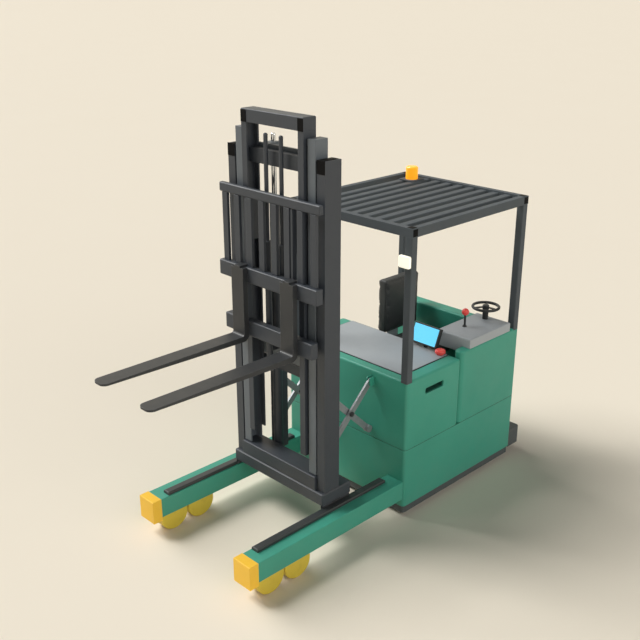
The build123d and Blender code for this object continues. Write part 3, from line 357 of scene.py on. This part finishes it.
finishes = {
    bodyGreen: ["chassis_tub", "battery_hood", "cab_side_wall", "cab_rear_wall", "straddle_legs",
                "arm_brackets"],
    mastGrey: ["mast_base", "outer_mast_channels", "outer_mast_ties", "inner_mast_channels",
               "inner_mast_bars", "carriage_bars", "carriage_plates", "load_backrest", "main_lift_barrels",
               "free_lift_barrels", "free_lift_rods", "arm_guides"],
    guardGrey: ["guard_posts", "guard_roof"],
    stageGrey: ["mid_mast_channels", "mid_mast_ties"],
    railGrey: ["mast_rails"],
    lidGrey: ["hood_plate"],
    consoleGrey: ["console", "seat_pedestal"],
    blackPlastic: ["guard_corner_blocks", "outer_mast_caps", "inner_mast_caps"],
    controlBlack: ["display_housing", "joystick_lever", "steering_column", "steering_wheel"],
    blackRubber: ["floor_mat"],
    bumperRubber: ["rear_bumper", "skirt"],
    tyreRubber: ["drive_tyre"],
    capYellow: ["leg_caps", "bogies"],
    wheelYellow: ["load_wheel_right_front", "load_wheel_right_rear", "load_wheel_left_front",
                  "load_wheel_left_rear"],
    knobRed: ["red_knobs"],
    forkSteel: ["forks"],
    pinSteel: ["arm_pins"],
    driveIron: ["drive_turntable", "drive_motor", "drive_hub"],
    batteryCase: ["battery"],
    armSteel: ["hung_arms", "crossed_arms"],
    rodChrome: ["main_lift_rods"],
    lampWhite: ["lamp_lenses"],
    beaconAmber: ["beacon_lens"],
    screenBlue: ["display_glass"],
    seatVinyl: ["seat_cushion", "seat_backrest"],
}
for material, names in finishes.items():
    for name in names:
        nodes[name].data.materials.clear()
        nodes[name].data.materials.append(material)
print("finishes set on", sum(len(names) for names in finishes.values()), "nodes")


# geometry node trees for what repeats or follows a line

def newTree(name, inputs):
    tree = bpy.data.node_groups.new(name, "GeometryNodeTree")
    tree.interface.new_socket("Geometry", in_out="INPUT", socket_type="NodeSocketGeometry")
    for label, kind, value in inputs:
        socket = tree.interface.new_socket(label, in_out="INPUT", socket_type="NodeSocket" + kind)
        socket.default_value = value
    tree.interface.new_socket("Finish", in_out="INPUT", socket_type="NodeSocketMaterial")
    tree.interface.new_socket("Geometry", in_out="OUTPUT", socket_type="NodeSocketGeometry")
    return tree, tree.nodes.new("NodeGroupInput"), tree.nodes.new("NodeGroupOutput")


def wire(tree, node, **sockets):
    for key, socket in sockets.items():
        tree.links.new(socket, node.inputs[key.replace("_", " ")])
    return node.outputs[0]


def closeTree(tree, start, end, geometry):
    # copies become real faces and take their finish
    real = wire(tree, tree.nodes.new("GeometryNodeRealizeInstances"), Geometry=geometry)
    finish = tree.nodes.new("GeometryNodeSetMaterial")
    tree.links.new(wire(tree, finish, Geometry=real, Material=start.outputs["Finish"]), end.inputs[0])
    return tree


def lifted(tree, shape, height):
    offset = tree.nodes.new("ShaderNodeCombineXYZ")
    tree.links.new(height, offset.inputs["Z"])
    move = tree.nodes.new("GeometryNodeTransform")
    return wire(tree, move, Geometry=shape, Translation=offset.outputs[0])


def turnedTo(tree, direction, axis):
    node = tree.nodes.new("FunctionNodeAlignRotationToVector")
    node.axis = axis
    tree.links.new(direction, node.inputs["Vector"])
    return node.outputs[0]


def copies(tree, points, shape, rotation):
    node = tree.nodes.new("GeometryNodeInstanceOnPoints")
    return wire(tree, node, Points=points, Instance=shape, Rotation=rotation)


def joined(tree, shapes):
    node = tree.nodes.new("GeometryNodeJoinGeometry")
    for shape in shapes:
        tree.links.new(shape, node.inputs[0])
    return node.outputs[0]


boltShape = {"washerSpread": 1.6, "washerSides": 20, "crownHeight": 0.22, "crownTop": 0.82}


def buildBoltTree():
    # washer, hexagon and its bevelled top on every point, turned to the point's aim
    tree, start, end = newTree("boltHeads", [("Radius", "Float", 0.009), ("Height", "Float", 0.006),
                                             ("Washer", "Float", 0.002)])
    value = start.outputs
    washer = addNode(tree, "GeometryNodeMeshCylinder", Vertices=boltShape["washerSides"])
    washerRadius = maths(tree, "MULTIPLY", value["Radius"], boltShape["washerSpread"])
    washerShape = wire(tree, washer, Radius=washerRadius, Depth=value["Washer"])
    head = addNode(tree, "GeometryNodeMeshCylinder", Vertices=6)
    headShape = wire(tree, head, Radius=value["Radius"], Depth=value["Height"])
    crown = addNode(tree, "GeometryNodeMeshCone", Vertices=6)
    crownHeight = maths(tree, "MULTIPLY", value["Height"], boltShape["crownHeight"])
    crownTop = maths(tree, "MULTIPLY", value["Radius"], boltShape["crownTop"])
    crownShape = wire(tree, crown, Radius_Bottom=value["Radius"], Radius_Top=crownTop, Depth=crownHeight)
    half = maths(tree, "MULTIPLY", value["Height"], 0.5)
    bolt = joined(tree, [lifted(tree, washerShape, maths(tree, "MULTIPLY", value["Washer"], 0.5)),
                         lifted(tree, headShape, maths(tree, "ADD", half, value["Washer"])),
                         lifted(tree, crownShape, maths(tree, "ADD", value["Height"], value["Washer"]))])
    aim = addNode(tree, "GeometryNodeInputNamedAttribute", data_type="FLOAT_VECTOR", Name="aim")
    points = wire(tree, tree.nodes.new("GeometryNodeMeshToPoints"), Mesh=value["Geometry"])
    rotation = turnedTo(tree, aim.outputs["Attribute"], "Z")
    return closeTree(tree, start, end, copies(tree, points, bolt, rotation))


studShape = {"sides": 12, "top": 0.75}


def buildStudTree():
    # a field of low round studs, left open under whatever stands on it
    tree, start, end = newTree("studField", [
        ("Middle", "Vector", (0, 0, 0)), ("Length", "Float", 1.0), ("Width", "Float", 0.5),
        ("Rows", "Int", 10), ("Columns", "Int", 10), ("Radius", "Float", 0.008), ("Height", "Float", 0.002),
        ("Clear Middle", "Vector", (0, 0, 0)), ("Clear Half", "Vector", (0, 0, 0))])
    value = start.outputs
    grid = tree.nodes.new("GeometryNodeMeshGrid")
    field = wire(tree, grid, Size_X=value["Length"], Size_Y=value["Width"], Vertices_X=value["Columns"],
                 Vertices_Y=value["Rows"])
    field = wire(tree, tree.nodes.new("GeometryNodeTransform"), Geometry=field, Translation=value["Middle"])
    away = tree.nodes.new("GeometryNodeInputPosition").outputs[0]
    for operation, other in (("SUBTRACT", value["Clear Middle"]), ("ABSOLUTE", None),
                             ("SUBTRACT", value["Clear Half"])):
        step = tree.nodes.new("ShaderNodeVectorMath")
        step.operation = operation
        tree.links.new(away, step.inputs[0])
        if other:
            tree.links.new(other, step.inputs[1])
        away = step.outputs[0]
    apart = tree.nodes.new("ShaderNodeSeparateXYZ")
    tree.links.new(away, apart.inputs[0])
    covered = maths(tree, "LESS_THAN", maths(tree, "MAXIMUM", apart.outputs["X"], apart.outputs["Y"]), 0.0)
    kept = wire(tree, tree.nodes.new("GeometryNodeDeleteGeometry"), Geometry=field, Selection=covered)
    stud = addNode(tree, "GeometryNodeMeshCone", Vertices=studShape["sides"])
    shape = wire(tree, stud, Radius_Bottom=value["Radius"], Depth=value["Height"],
                 Radius_Top=maths(tree, "MULTIPLY", value["Radius"], studShape["top"]))
    placed = tree.nodes.new("GeometryNodeInstanceOnPoints")
    return closeTree(tree, start, end, wire(tree, placed, Points=kept, Instance=shape))


def buildStitchTree():
    # thread stitches lying end to end along the mesh's lines
    tree, start, end = newTree("stitchRun", [("Pitch", "Float", 0.01), ("Length", "Float", 0.0065),
                                             ("Thread", "Float", 0.0011)])
    value = start.outputs
    curve = wire(tree, tree.nodes.new("GeometryNodeMeshToCurve"), Mesh=value["Geometry"])
    even = tree.nodes.new("GeometryNodeResampleCurve")
    even.mode = "LENGTH"
    even = wire(tree, even, Curve=curve, Length=value["Pitch"])
    ball = addNode(tree, "GeometryNodeMeshIcoSphere", Subdivisions=2, Radius=0.5)
    thick = maths(tree, "MULTIPLY", value["Thread"], 2.0)
    stretch = tree.nodes.new("ShaderNodeCombineXYZ")
    wire(tree, stretch, X=value["Length"], Y=thick, Z=thick)
    thread = tree.nodes.new("GeometryNodeTransform")
    shape = wire(tree, thread, Geometry=ball.outputs[0], Scale=stretch.outputs[0])
    smooth = wire(tree, tree.nodes.new("GeometryNodeSetShadeSmooth"), Geometry=shape)
    tangent = tree.nodes.new("GeometryNodeInputTangent").outputs[0]
    return closeTree(tree, start, end, copies(tree, even, smooth, turnedTo(tree, tangent, "X")))


def buildPipeTree():
    # a round welt along the mesh's lines
    tree, start, end = newTree("weltRun", [("Radius", "Float", 0.004), ("Sides", "Int", 10)])
    value = start.outputs
    curve = wire(tree, tree.nodes.new("GeometryNodeMeshToCurve"), Mesh=value["Geometry"])
    ring = wire(tree, tree.nodes.new("GeometryNodeCurvePrimitiveCircle"), Radius=value["Radius"],
                Resolution=value["Sides"])
    sweep = addNode(tree, "GeometryNodeCurveToMesh", **{"Fill Caps": True})
    tube = wire(tree, sweep, Curve=curve, Profile_Curve=ring)
    smooth = wire(tree, tree.nodes.new("GeometryNodeSetShadeSmooth"), Geometry=tube)
    return closeTree(tree, start, end, smooth)


def grow(name, tree, mesh, values, material):
    # run a tree on a start mesh and keep the faces it makes as a plain mesh
    start = link(bpy.data.objects.new(name + "Start", mesh))
    modifier = start.modifiers.new("grow", "NODES")
    modifier.node_group = tree
    settings = dict(values, Finish=material)
    for item in tree.interface.items_tree:
        if item.in_out == "INPUT" and item.name in settings:
            modifier[item.identifier] = settings[item.name]
    depsgraph = bpy.context.evaluated_depsgraph_get()
    grown = bpy.data.meshes.new_from_object(start.evaluated_get(depsgraph))
    grown.name = name
    bpy.data.objects.remove(start)
    return makeObject(name, grown, material)


def lineMesh(name, runs, closed=False):
    # runs of points as edges
    mesh = bpy.data.meshes.new(name + "Lines")
    points, edges = [], []
    for run in runs:
        first = len(points)
        points += run
        edges += [(first + i, first + i + 1) for i in range(len(run) - 1)]
        if closed:
            edges.append((len(points) - 1, first))
    mesh.from_pydata(points, edges, [])
    return mesh


def dress(obj, body):
    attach(obj, body)


boltTree = buildBoltTree()
studTree = buildStudTree()
stitchTree = buildStitchTree()
pipeTree = buildPipeTree()
print("node trees built")


# operator's seat: stuffed by a short cloth simulation, then sewn

cushionPad = {"node": "seat_cushion", "inset": (0.008, 0.008, 0.010), "corner": 0.026, "voxel": 0.006,
              "pressure": 4.0, "cap": 0.011, "fill": 0.75, "flat": (2, -1), "face": (2, 1)}
backPad = {"node": "seat_backrest", "inset": (0.009, 0.006, 0.006), "corner": 0.018, "voxel": 0.006,
           "pressure": 4.0, "cap": 0.008, "fill": 0.8, "flat": (0, -1), "face": (0, 1)}
seatSewing = {"bolster": 0.095, "roll": 0.085, "grooveDepth": 0.006, "grooveWidth": 0.008,
              "grooveFacing": 0.25, "grooveReach": 3, "stitchLength": 0.0065, "stitchPitch": 0.010,
              "stitchRadius": 0.0011, "stitchOffset": 0.013, "stitchEnds": 0.03, "weltRadius": 0.0036,
              "weltLift": 0.3, "weltInset": 0.020, "weltCorner": 0.022, "pointGap": 0.008, "drop": 0.05}
stuffing = {"quality": 6, "mass": 0.3, "stiffness": 18, "bending": 2, "frames": 20,
            "proud": 0.004, "settle": 0.009}


def startPad(pad):
    low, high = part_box(pad["node"])
    size = high - low - 2 * Vector(pad["inset"])
    place = Matrix.Translation(middleOf(pad["node"])) @ Matrix.Diagonal((*size, 1))
    bm = bmesh.new()
    bmesh.ops.create_cube(bm, size=1)
    bmesh.ops.transform(bm, matrix=place, verts=bm.verts)
    bmesh.ops.bevel(bm, geom=bm.edges, offset=pad["corner"], segments=5, profile=0.5, affect="EDGES")
    obj = makeObject(pad["node"] + "Start", meshFromBm(pad["node"] + "Start", bm), seatVinyl)
    remesh = obj.modifiers.new("evenFaces", "REMESH")
    remesh.mode = "VOXEL"
    remesh.voxel_size = pad["voxel"]
    return bakeMesh(obj, pad["node"] + "Pad")


def bakeMesh(obj, name):
    # a plain mesh of what the modifiers show, and the start object removed
    depsgraph = bpy.context.evaluated_depsgraph_get()
    mesh = bpy.data.meshes.new_from_object(obj.evaluated_get(depsgraph))
    mesh.name = name
    material = obj.data.materials[0]
    bpy.data.objects.remove(obj)
    return makeObject(name, mesh, material)


def stuff(obj, pad):
    cloth = obj.modifiers.new("stuffing", "CLOTH")
    cloth.settings.quality = stuffing["quality"]
    cloth.settings.mass = stuffing["mass"]
    cloth.settings.tension_stiffness = stuffing["stiffness"]
    cloth.settings.compression_stiffness = stuffing["stiffness"]
    cloth.settings.bending_stiffness = stuffing["bending"]
    cloth.settings.use_pressure = True
    cloth.settings.uniform_pressure_force = pad["pressure"]
    cloth.settings.effector_weights.gravity = 0
    for step in range(1, stuffing["frames"] + 1):
        scene.frame_set(step)
    depsgraph = bpy.context.evaluated_depsgraph_get()
    swollen = [vertex.co.copy() for vertex in obj.evaluated_get(depsgraph).data.vertices]
    obj.modifiers.remove(cloth)
    scene.frame_set(1)
    for vertex, place in zip(obj.data.vertices, swollen):
        move = place - vertex.co
        if move.length > pad["cap"]:
            move *= pad["cap"] / move.length
        vertex.co += move


def seatOnSupport(obj, pad):
    # flat where the pad rests, inside its room but for a little at the padded face
    low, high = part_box(pad["node"])
    axis, side = pad["flat"]
    rest = low[axis] if side < 0 else high[axis]
    top = high.copy()
    top[pad["face"][0]] += stuffing["proud"]
    for vertex in obj.data.vertices:
        for i in range(3):
            vertex.co[i] = min(max(vertex.co[i], low[i]), top[i])
        if abs(vertex.co[axis] - rest) < stuffing["settle"]:
            vertex.co[axis] = rest


def groove(obj, pad, lineAxis, place):
    # press a sewn channel into the padded face, at one place along an axis
    axis, side = pad["face"]
    normals = [vertex.normal[axis] * side for vertex in obj.data.vertices]
    for vertex, facing in zip(obj.data.vertices, normals):
        reach = abs(vertex.co[lineAxis] - place) / seatSewing["grooveWidth"]
        if facing > seatSewing["grooveFacing"] and reach < seatSewing["grooveReach"]:
            vertex.co[axis] -= side * seatSewing["grooveDepth"] * facing * exp(-reach * reach)


def smoothMesh(obj, levels=1):
    subdivide = obj.modifiers.new("smooth", "SUBSURF")
    subdivide.levels = levels
    subdivide.render_levels = levels
    name = obj.name
    obj.name = name + "Coarse"
    smooth = bakeMesh(obj, name)
    smooth.data.polygons.foreach_set("use_smooth", [True] * len(smooth.data.polygons))
    return smooth


def buildPad(pad, grooves):
    obj = startPad(pad)
    stuff(obj, pad)
    seatOnSupport(obj, pad)
    for lineAxis, place in grooves:
        groove(obj, pad, lineAxis, place)
    obj = smoothMesh(obj)
    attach(obj, "chassis")
    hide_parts(pad["node"])
    return obj


def roundedLoop(low, high, radius, steps=6):
    # a rectangle with round corners, as points in a plane
    points = []
    corners = ((high[0], high[1], 0), (low[0], high[1], 1), (low[0], low[1], 2), (high[0], low[1], 3))
    for u, v, quarter in corners:
        centre = (u - radius if quarter in (0, 3) else u + radius,
                  v - radius if quarter in (0, 1) else v + radius)
        for i in range(steps + 1):
            angle = (quarter + i / steps) * pi / 2
            points.append((centre[0] + radius * cos(angle), centre[1] + radius * sin(angle)))
    return points


def evenly(points, gap):
    # points at even steps along a closed loop
    even = []
    for (u0, v0), (u1, v1) in zip(points, points[1:] + points[:1]):
        count = max(1, round(((u1 - u0) ** 2 + (v1 - v0) ** 2) ** 0.5 / gap))
        even += [(u0 + (u1 - u0) * i / count, v0 + (v1 - v0) * i / count) for i in range(count)]
    return even


def onSurface(obj, points, direction, lift=0.0):
    # drop points onto a pad along a direction
    mesh = obj.data
    tree = BVHTree.FromPolygons([v.co for v in mesh.vertices], [p.vertices for p in mesh.polygons])
    hits = [tree.ray_cast(Vector(point), Vector(direction))[0] for point in points]
    return [hit - Vector(direction) * lift for hit in hits if hit]


def sewSeat(cushion, backrest):
    low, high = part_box(cushionPad["node"])
    above = high.z + seatSewing["drop"]
    ends = seatSewing["stitchEnds"]
    count = int((high.x - low.x) / seatSewing["pointGap"])
    steps = [low.x + ends + (high.x - low.x - 2 * ends) * i / count for i in range(count + 1)]
    runs = []
    for seam in (low.y + seatSewing["bolster"], high.y - seatSewing["bolster"]):
        for side in (-1, 1):
            y = seam + side * seatSewing["stitchOffset"]
            runs.append(onSurface(cushion, [(x, y, above) for x in steps], (0, 0, -1)))
    stitches = grow("seatStitches", stitchTree, lineMesh("seatStitches", runs), {
        "Pitch": seatSewing["stitchPitch"], "Length": seatSewing["stitchLength"],
        "Thread": seatSewing["stitchRadius"]}, seatThread)
    inset, corner, gap = seatSewing["weltInset"], seatSewing["weltCorner"], seatSewing["pointGap"]
    lift = seatSewing["weltRadius"] * seatSewing["weltLift"]
    loop = evenly(roundedLoop((low.x + inset, low.y + inset), (high.x - inset, high.y - inset), corner), gap)
    cushionLine = onSurface(cushion, [(x, y, above) for x, y in loop], (0, 0, -1), lift)
    low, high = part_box(backPad["node"])
    ahead = high.x + seatSewing["drop"]
    loop = evenly(roundedLoop((low.y + inset, low.z + inset), (high.y - inset, high.z - inset), corner), gap)
    backLine = onSurface(backrest, [(ahead, y, z) for y, z in loop], (-1, 0, 0), lift)
    welts = grow("seatWelts", pipeTree, lineMesh("seatWelts", [cushionLine, backLine], closed=True),
                 {"Radius": seatSewing["weltRadius"]}, seatVinyl)
    for piece in (stitches, welts):
        dress(piece, "chassis")
    return len(stitches.data.polygons) + len(welts.data.polygons)


def buildSeat():
    low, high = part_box(cushionPad["node"])
    sides = [low.y + seatSewing["bolster"], high.y - seatSewing["bolster"]]
    roll = high.x - seatSewing["roll"]
    cushion = buildPad(cushionPad, [(1, y) for y in sides] + [(0, roll)])
    backrest = buildPad(backPad, [])
    print("seat sewn:", sewSeat(cushion, backrest), "faces")
    return cushion, backrest


cushion, backrest = buildSeat()
print("seat stuffed:", len(cushion.data.polygons) + len(backrest.data.polygons), "faces")


# trim on the body

lidGasket = {"node": "hood_plate", "gap": 0.0006, "width": 0.007, "rise": 0.0035, "sink": 0.008,
             "corner": 0.014}


def buildGasket():
    # a rubber frame round the service lid, sunk a little into the hood
    low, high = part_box(lidGasket["node"])
    loops = []
    for margin, top in ((lidGasket["gap"], False), (lidGasket["gap"], True), (lidGasket["width"], True),
                        (lidGasket["width"] + lidGasket["rise"], False)):
        z = low.z + (lidGasket["rise"] if top else -lidGasket["sink"])
        loop = roundedLoop((low.x - margin, low.y - margin), (high.x + margin, high.y + margin),
                           lidGasket["corner"] + margin)
        loops.append([(x, y, z) for x, y in loop])
    bm = bmesh.new()
    rings = [[bm.verts.new(point) for point in loop] for loop in loops]
    for inner, outer in zip(rings, rings[1:] + rings[:1]):
        for i in range(len(inner)):
            j = (i + 1) % len(inner)
            bm.faces.new((inner[i], inner[j], outer[j], outer[i]))
    bmesh.ops.recalc_face_normals(bm, faces=bm.faces)
    gasket = makeObject("lidGasket", meshFromBm("lidGasket", bm), blackRubber)
    dress(gasket, "chassis")


# painted shade: a dark green bead that darkens the seam groove where only its shade would be
seamShadeBead = {"panel": "battery_hood", "wall": "cab_rear_wall", "inset": 0.0032, "radius": 0.0024,
            "corner": 0.0248}


def buildSeamShadeBead():
    # a bead in the groove between the tub and the panels on it, in the darker green of painted shade in the
    # groove, left out along the open entry
    low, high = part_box(seamShadeBead["panel"])
    wallLow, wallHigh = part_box(seamShadeBead["wall"])
    inset = seamShadeBead["inset"]
    loop = roundedLoop((low.x + inset, low.y + inset), (high.x - inset, wallHigh.y - inset),
                       seamShadeBead["corner"])
    half = len(loop) // 2
    run = [(low.x + inset, high.y)] + loop[half:] + loop[:half] + [(low.x + inset, wallLow.y)]
    bead = grow("seamShadeBead", pipeTree, lineMesh("seamShadeBead", [[(x, y, low.z) for x, y in run]]),
                {"Radius": seamShadeBead["radius"]}, recessShadeGreen)
    dress(bead, "chassis")


gripPocket = {"front": 0.411, "length": 0.206, "bottom": 0.934, "height": 0.046, "corner": 0.0115,
              "margin": 0.001, "mouth": 0.590, "depth": 0.042, "wall": 0.002}


def buildPockets():
    # a moulded pocket behind each grip slot of the hood, in a darker green that is painted shade in the
    # recess
    margin = gripPocket["margin"]
    low = (gripPocket["front"] - margin, gripPocket["bottom"] - margin)
    high = (low[0] + gripPocket["length"] + 2 * margin, low[1] + gripPocket["height"] + 2 * margin)
    bm = bmesh.new()
    for side in (-1, 1):
        mouth = side * gripPocket["mouth"]
        back = side * (gripPocket["mouth"] - gripPocket["depth"])
        outline = roundedLoop(low, high, gripPocket["corner"])
        rims = [[bm.verts.new((x, y, z)) for y, z in outline] for x in (mouth, back)]
        faces = [bm.faces.new(rims[1])]
        for i in range(len(outline)):
            j = (i + 1) % len(outline)
            faces.append(bm.faces.new((rims[0][i], rims[0][j], rims[1][j], rims[1][i])))
        bmesh.ops.recalc_face_normals(bm, faces=faces)
    bmesh.ops.solidify(bm, geom=bm.faces[:], thickness=gripPocket["wall"])
    bmesh.ops.recalc_face_normals(bm, faces=bm.faces)
    pockets = makeObject("gripPockets", meshFromBm("gripPockets", bm), recessShadeGreen)
    dress(pockets, "chassis")


matStuds = {"node": "floor_mat", "margin": 0.028, "pitch": 0.034, "radius": 0.0085, "height": 0.0024,
            "sink": 0.0004, "under": "seat_pedestal", "clear": 0.016, "foot": (0.290, 0.235)}
stepTread = {"front": 1.000, "length": 0.36, "floor": 0.250, "outer": -0.598, "inner": -0.462,
             "margin": 0.022, "pitch": 0.026, "radius": 0.0075, "height": 0.003, "sink": 0.0004}


def growStuds(name, sizes, x, y, z, length, width, clear):
    # studs on a rectangle of floor at height z, its margin left free
    length -= 2 * sizes["margin"]
    width -= 2 * sizes["margin"]
    studs = grow(name, studTree, lineMesh(name, []), dict(clear, **{
        "Middle": (x, y, z + sizes["height"] / 2 - sizes["sink"]), "Length": length, "Width": width,
        "Columns": round(length / sizes["pitch"]) + 1, "Rows": round(width / sizes["pitch"]) + 1,
        "Radius": sizes["radius"], "Height": sizes["height"]}), blackRubber)
    dress(studs, "chassis")
    return len(studs.data.polygons)


def buildStuds():
    low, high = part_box(matStuds["node"])
    middle = middleOf(matStuds["node"])
    footX, footY = matStuds["foot"]
    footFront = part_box(matStuds["under"])[1].x
    clear = {"Clear Middle": (footFront - footX / 2, middleOf(matStuds["under"]).y, 0),
             "Clear Half": (footX / 2 + matStuds["clear"], footY / 2 + matStuds["clear"], 0)}
    count = growStuds("floorStuds", matStuds, middle.x, middle.y, high.z,
                      high.x - low.x, high.y - low.y, clear)
    tread = stepTread
    return count + growStuds("stepStuds", tread, (tread["inner"] + tread["outer"]) / 2,
                             tread["front"] + tread["length"] / 2, tread["floor"],
                             tread["inner"] - tread["outer"], tread["length"], {})


tieBolts = {"radius": 0.011, "height": 0.007, "washer": 0.002, "ends": (0.325, 0.362),
            "rows": (0.022, 0.054)}
pivotBolts = {"radius": 0.0112, "height": 0.006, "washer": 0.005}
bracketBolts = {"radius": 0.008, "height": 0.005, "washer": 0.0015, "spread": 0.042, "levels": (1.03, 1.14)}
hubNuts = {"radius": 0.010, "height": 0.009, "washer": 0.002, "circle": 0.056, "count": 5, "face": 0.030}


def boltMesh(name, places):
    # points with the direction that each bolt looks in
    mesh = lineMesh(name, [[point] for point, aim in places])
    aims = mesh.attributes.new("aim", "FLOAT_VECTOR", "POINT")
    for item, (point, aim) in zip(aims.data, places):
        item.vector = aim
    return mesh


def growBolts(name, places, sizes, body):
    bolts = grow(name, boltTree, boltMesh(name, places), {
        "Radius": sizes["radius"], "Height": sizes["height"], "Washer": sizes["washer"]}, pinSteel)
    dress(bolts, body)
    return len(places)


def buildBolts():
    low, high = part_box("outer_mast_ties")
    levels = [low.z + row for row in tieBolts["rows"]] + [high.z - row for row in tieBolts["rows"]]
    places = [((side * x, high.y, z), (0, 1, 0))
              for side in (-1, 1) for x in tieBolts["ends"] for z in levels]
    count = growBolts("tieBolts", places, tieBolts, "reach_mast")
    low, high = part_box("seat_pedestal")
    middle = middleOf("seat_pedestal")
    places = [((low.x, middle.y + side * bracketBolts["spread"], z), (-1, 0, 0))
              for side in (-1, 1) for z in bracketBolts["levels"]]
    count += growBolts("seatBolts", places, bracketBolts, "chassis")
    low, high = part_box("arm_pins")
    middle = middleOf("arm_pins")
    places = [((side * high.x, middle.y, middle.z), (side, 0, 0)) for side in (-1, 1)]
    count += growBolts("pivotBolts", places, pivotBolts, "hung_scissor")
    middle = middleOf("drive_tyre")
    places = []
    for i in range(hubNuts["count"]):
        angle = 2 * pi * i / hubNuts["count"]
        places.append(((hubNuts["face"], middle.y + hubNuts["circle"] * cos(angle),
                        middle.z + hubNuts["circle"] * sin(angle)), (-1, 0, 0)))
    return count + growBolts("hubNuts", places, hubNuts, "drive_wheel")


slideSeals = {"node": "mast_base", "inner": 0.4405, "outer": 0.4555, "ends": 0.008, "low": 0.3156,
              "high": 0.3325, "lip": 0.004}


def buildSeals():
    # wiper strips that close the slit between the sliding base and its rails
    low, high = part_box(slideSeals["node"])
    inner, outer, lip = slideSeals["inner"], slideSeals["outer"], slideSeals["lip"]
    bottom, top = slideSeals["low"], slideSeals["high"]
    outline = [(inner, top), (inner, bottom), (outer + lip, bottom), (outer + lip, bottom + lip),
               (outer, bottom + 2 * lip), (outer, top)]
    bm = bmesh.new()
    for side in (-1, 1):
        ends = [[bm.verts.new((side * x, y, z)) for x, z in outline]
                for y in (low.y + slideSeals["ends"], high.y - slideSeals["ends"])]
        for end in ends:
            bm.faces.new(end)
        for i in range(len(outline)):
            j = (i + 1) % len(outline)
            bm.faces.new((ends[0][i], ends[0][j], ends[1][j], ends[1][i]))
    bmesh.ops.recalc_face_normals(bm, faces=bm.faces)
    seals = makeObject("slideSeals", meshFromBm("slideSeals", bm), blackRubber)
    dress(seals, "reach_mast")


buildGasket()
buildSeamShadeBead()
buildPockets()
buildSeals()
print("lid gasket, seam bead, grip pockets and slide seals made")
print("studs grown:", buildStuds(), "faces")
print("bolts grown:", buildBolts())


# studio

studio = {"floorColour": "#efe5d2", "floorTint": "#e9dcc6", "floorRoughness": 0.9, "floorShine": 0.1,
          "floorSize": 400.0, "skyStrength": 0.05, "skyColour": "#f4f6ff", "backdropColour": "#f3ead7",
          "keyStrength": 2.17, "keyAngle": 22.0, "keyFrom": (-0.62, -0.45, 1.0),
          "sideStrength": 1.5, "sideAngle": 35.0, "sideFrom": (-1.0, -0.15, 0.6),
          "fillStrength": 1.6, "fillAngle": 70.0, "fillFrom": (0.95, -0.12, 0.24)}


def buildStudio():
    bm = bmesh.new()
    bmesh.ops.create_grid(bm, x_segments=1, y_segments=1, size=studio["floorSize"] / 2)
    material, tree, shader = newMaterial("floorBeige")
    coords = tree.nodes.new("ShaderNodeTexCoord").outputs["Object"]
    fine = remap(tree, noise(tree, coords, scale=0.5, detail=2.0), 0.3, 0.7, 0.0, 0.06)
    tint = mixColour(tree, fine, linear(studio["floorColour"]), linear(studio["floorTint"]))
    tree.links.new(tint, shader.inputs["Base Color"])
    shader.inputs["Roughness"].default_value = studio["floorRoughness"]
    shader.inputs["Specular IOR Level"].default_value = studio["floorShine"]
    floor = makeObject("studioFloor", meshFromBm("studioFloor", bm), material)

    world = bpy.data.worlds.new("studioWorld")
    scene.world = world
    world.use_nodes = True
    # the eye and the reflections see a pale backdrop, the light itself comes from a dimmer sky
    tree = world.node_tree
    rays = tree.nodes.new("ShaderNodeLightPath").outputs
    seen = maths(tree, "MAXIMUM", rays["Is Camera Ray"], rays["Is Glossy Ray"])
    seen = maths(tree, "MAXIMUM", seen, rays["Is Transmission Ray"])
    background = tree.nodes["Background"]
    backdrop = mixColour(tree, seen, linear(studio["skyColour"]), linear(studio["backdropColour"]))
    tree.links.new(backdrop, background.inputs["Color"])
    tree.links.new(remap(tree, seen, 0.0, 1.0, studio["skyStrength"], 1.0), background.inputs["Strength"])

    for label in ("key", "side", "fill"):
        lamp = bpy.data.lights.new(label + "Light", "SUN")
        lamp.energy = studio[label + "Strength"]
        lamp.angle = radians(studio[label + "Angle"])
        obj = link(bpy.data.objects.new(label + "Light", lamp))
        obj.rotation_euler = Vector(studio[label + "From"]).to_track_quat("Z", "Y").to_euler()


view = {"place": (4.3028, -4.2835, 3.7908), "azimuth": 45.45, "elevation": 21.111, "lens": 51.71,
        "sensor": 36.0, "clipEnd": 1000.0}


def buildCamera():
    data = bpy.data.cameras.new("photoCamera")
    data.lens = view["lens"]
    data.sensor_width = view["sensor"]
    data.clip_end = view["clipEnd"]
    camera = link(bpy.data.objects.new("photoCamera", data))
    camera.location = view["place"]
    camera.rotation_euler = (radians(90 - view["elevation"]), 0, radians(view["azimuth"]))
    scene.camera = camera


buildStudio()
buildCamera()
scene.view_settings.view_transform = "Standard"
print("studio and camera set")
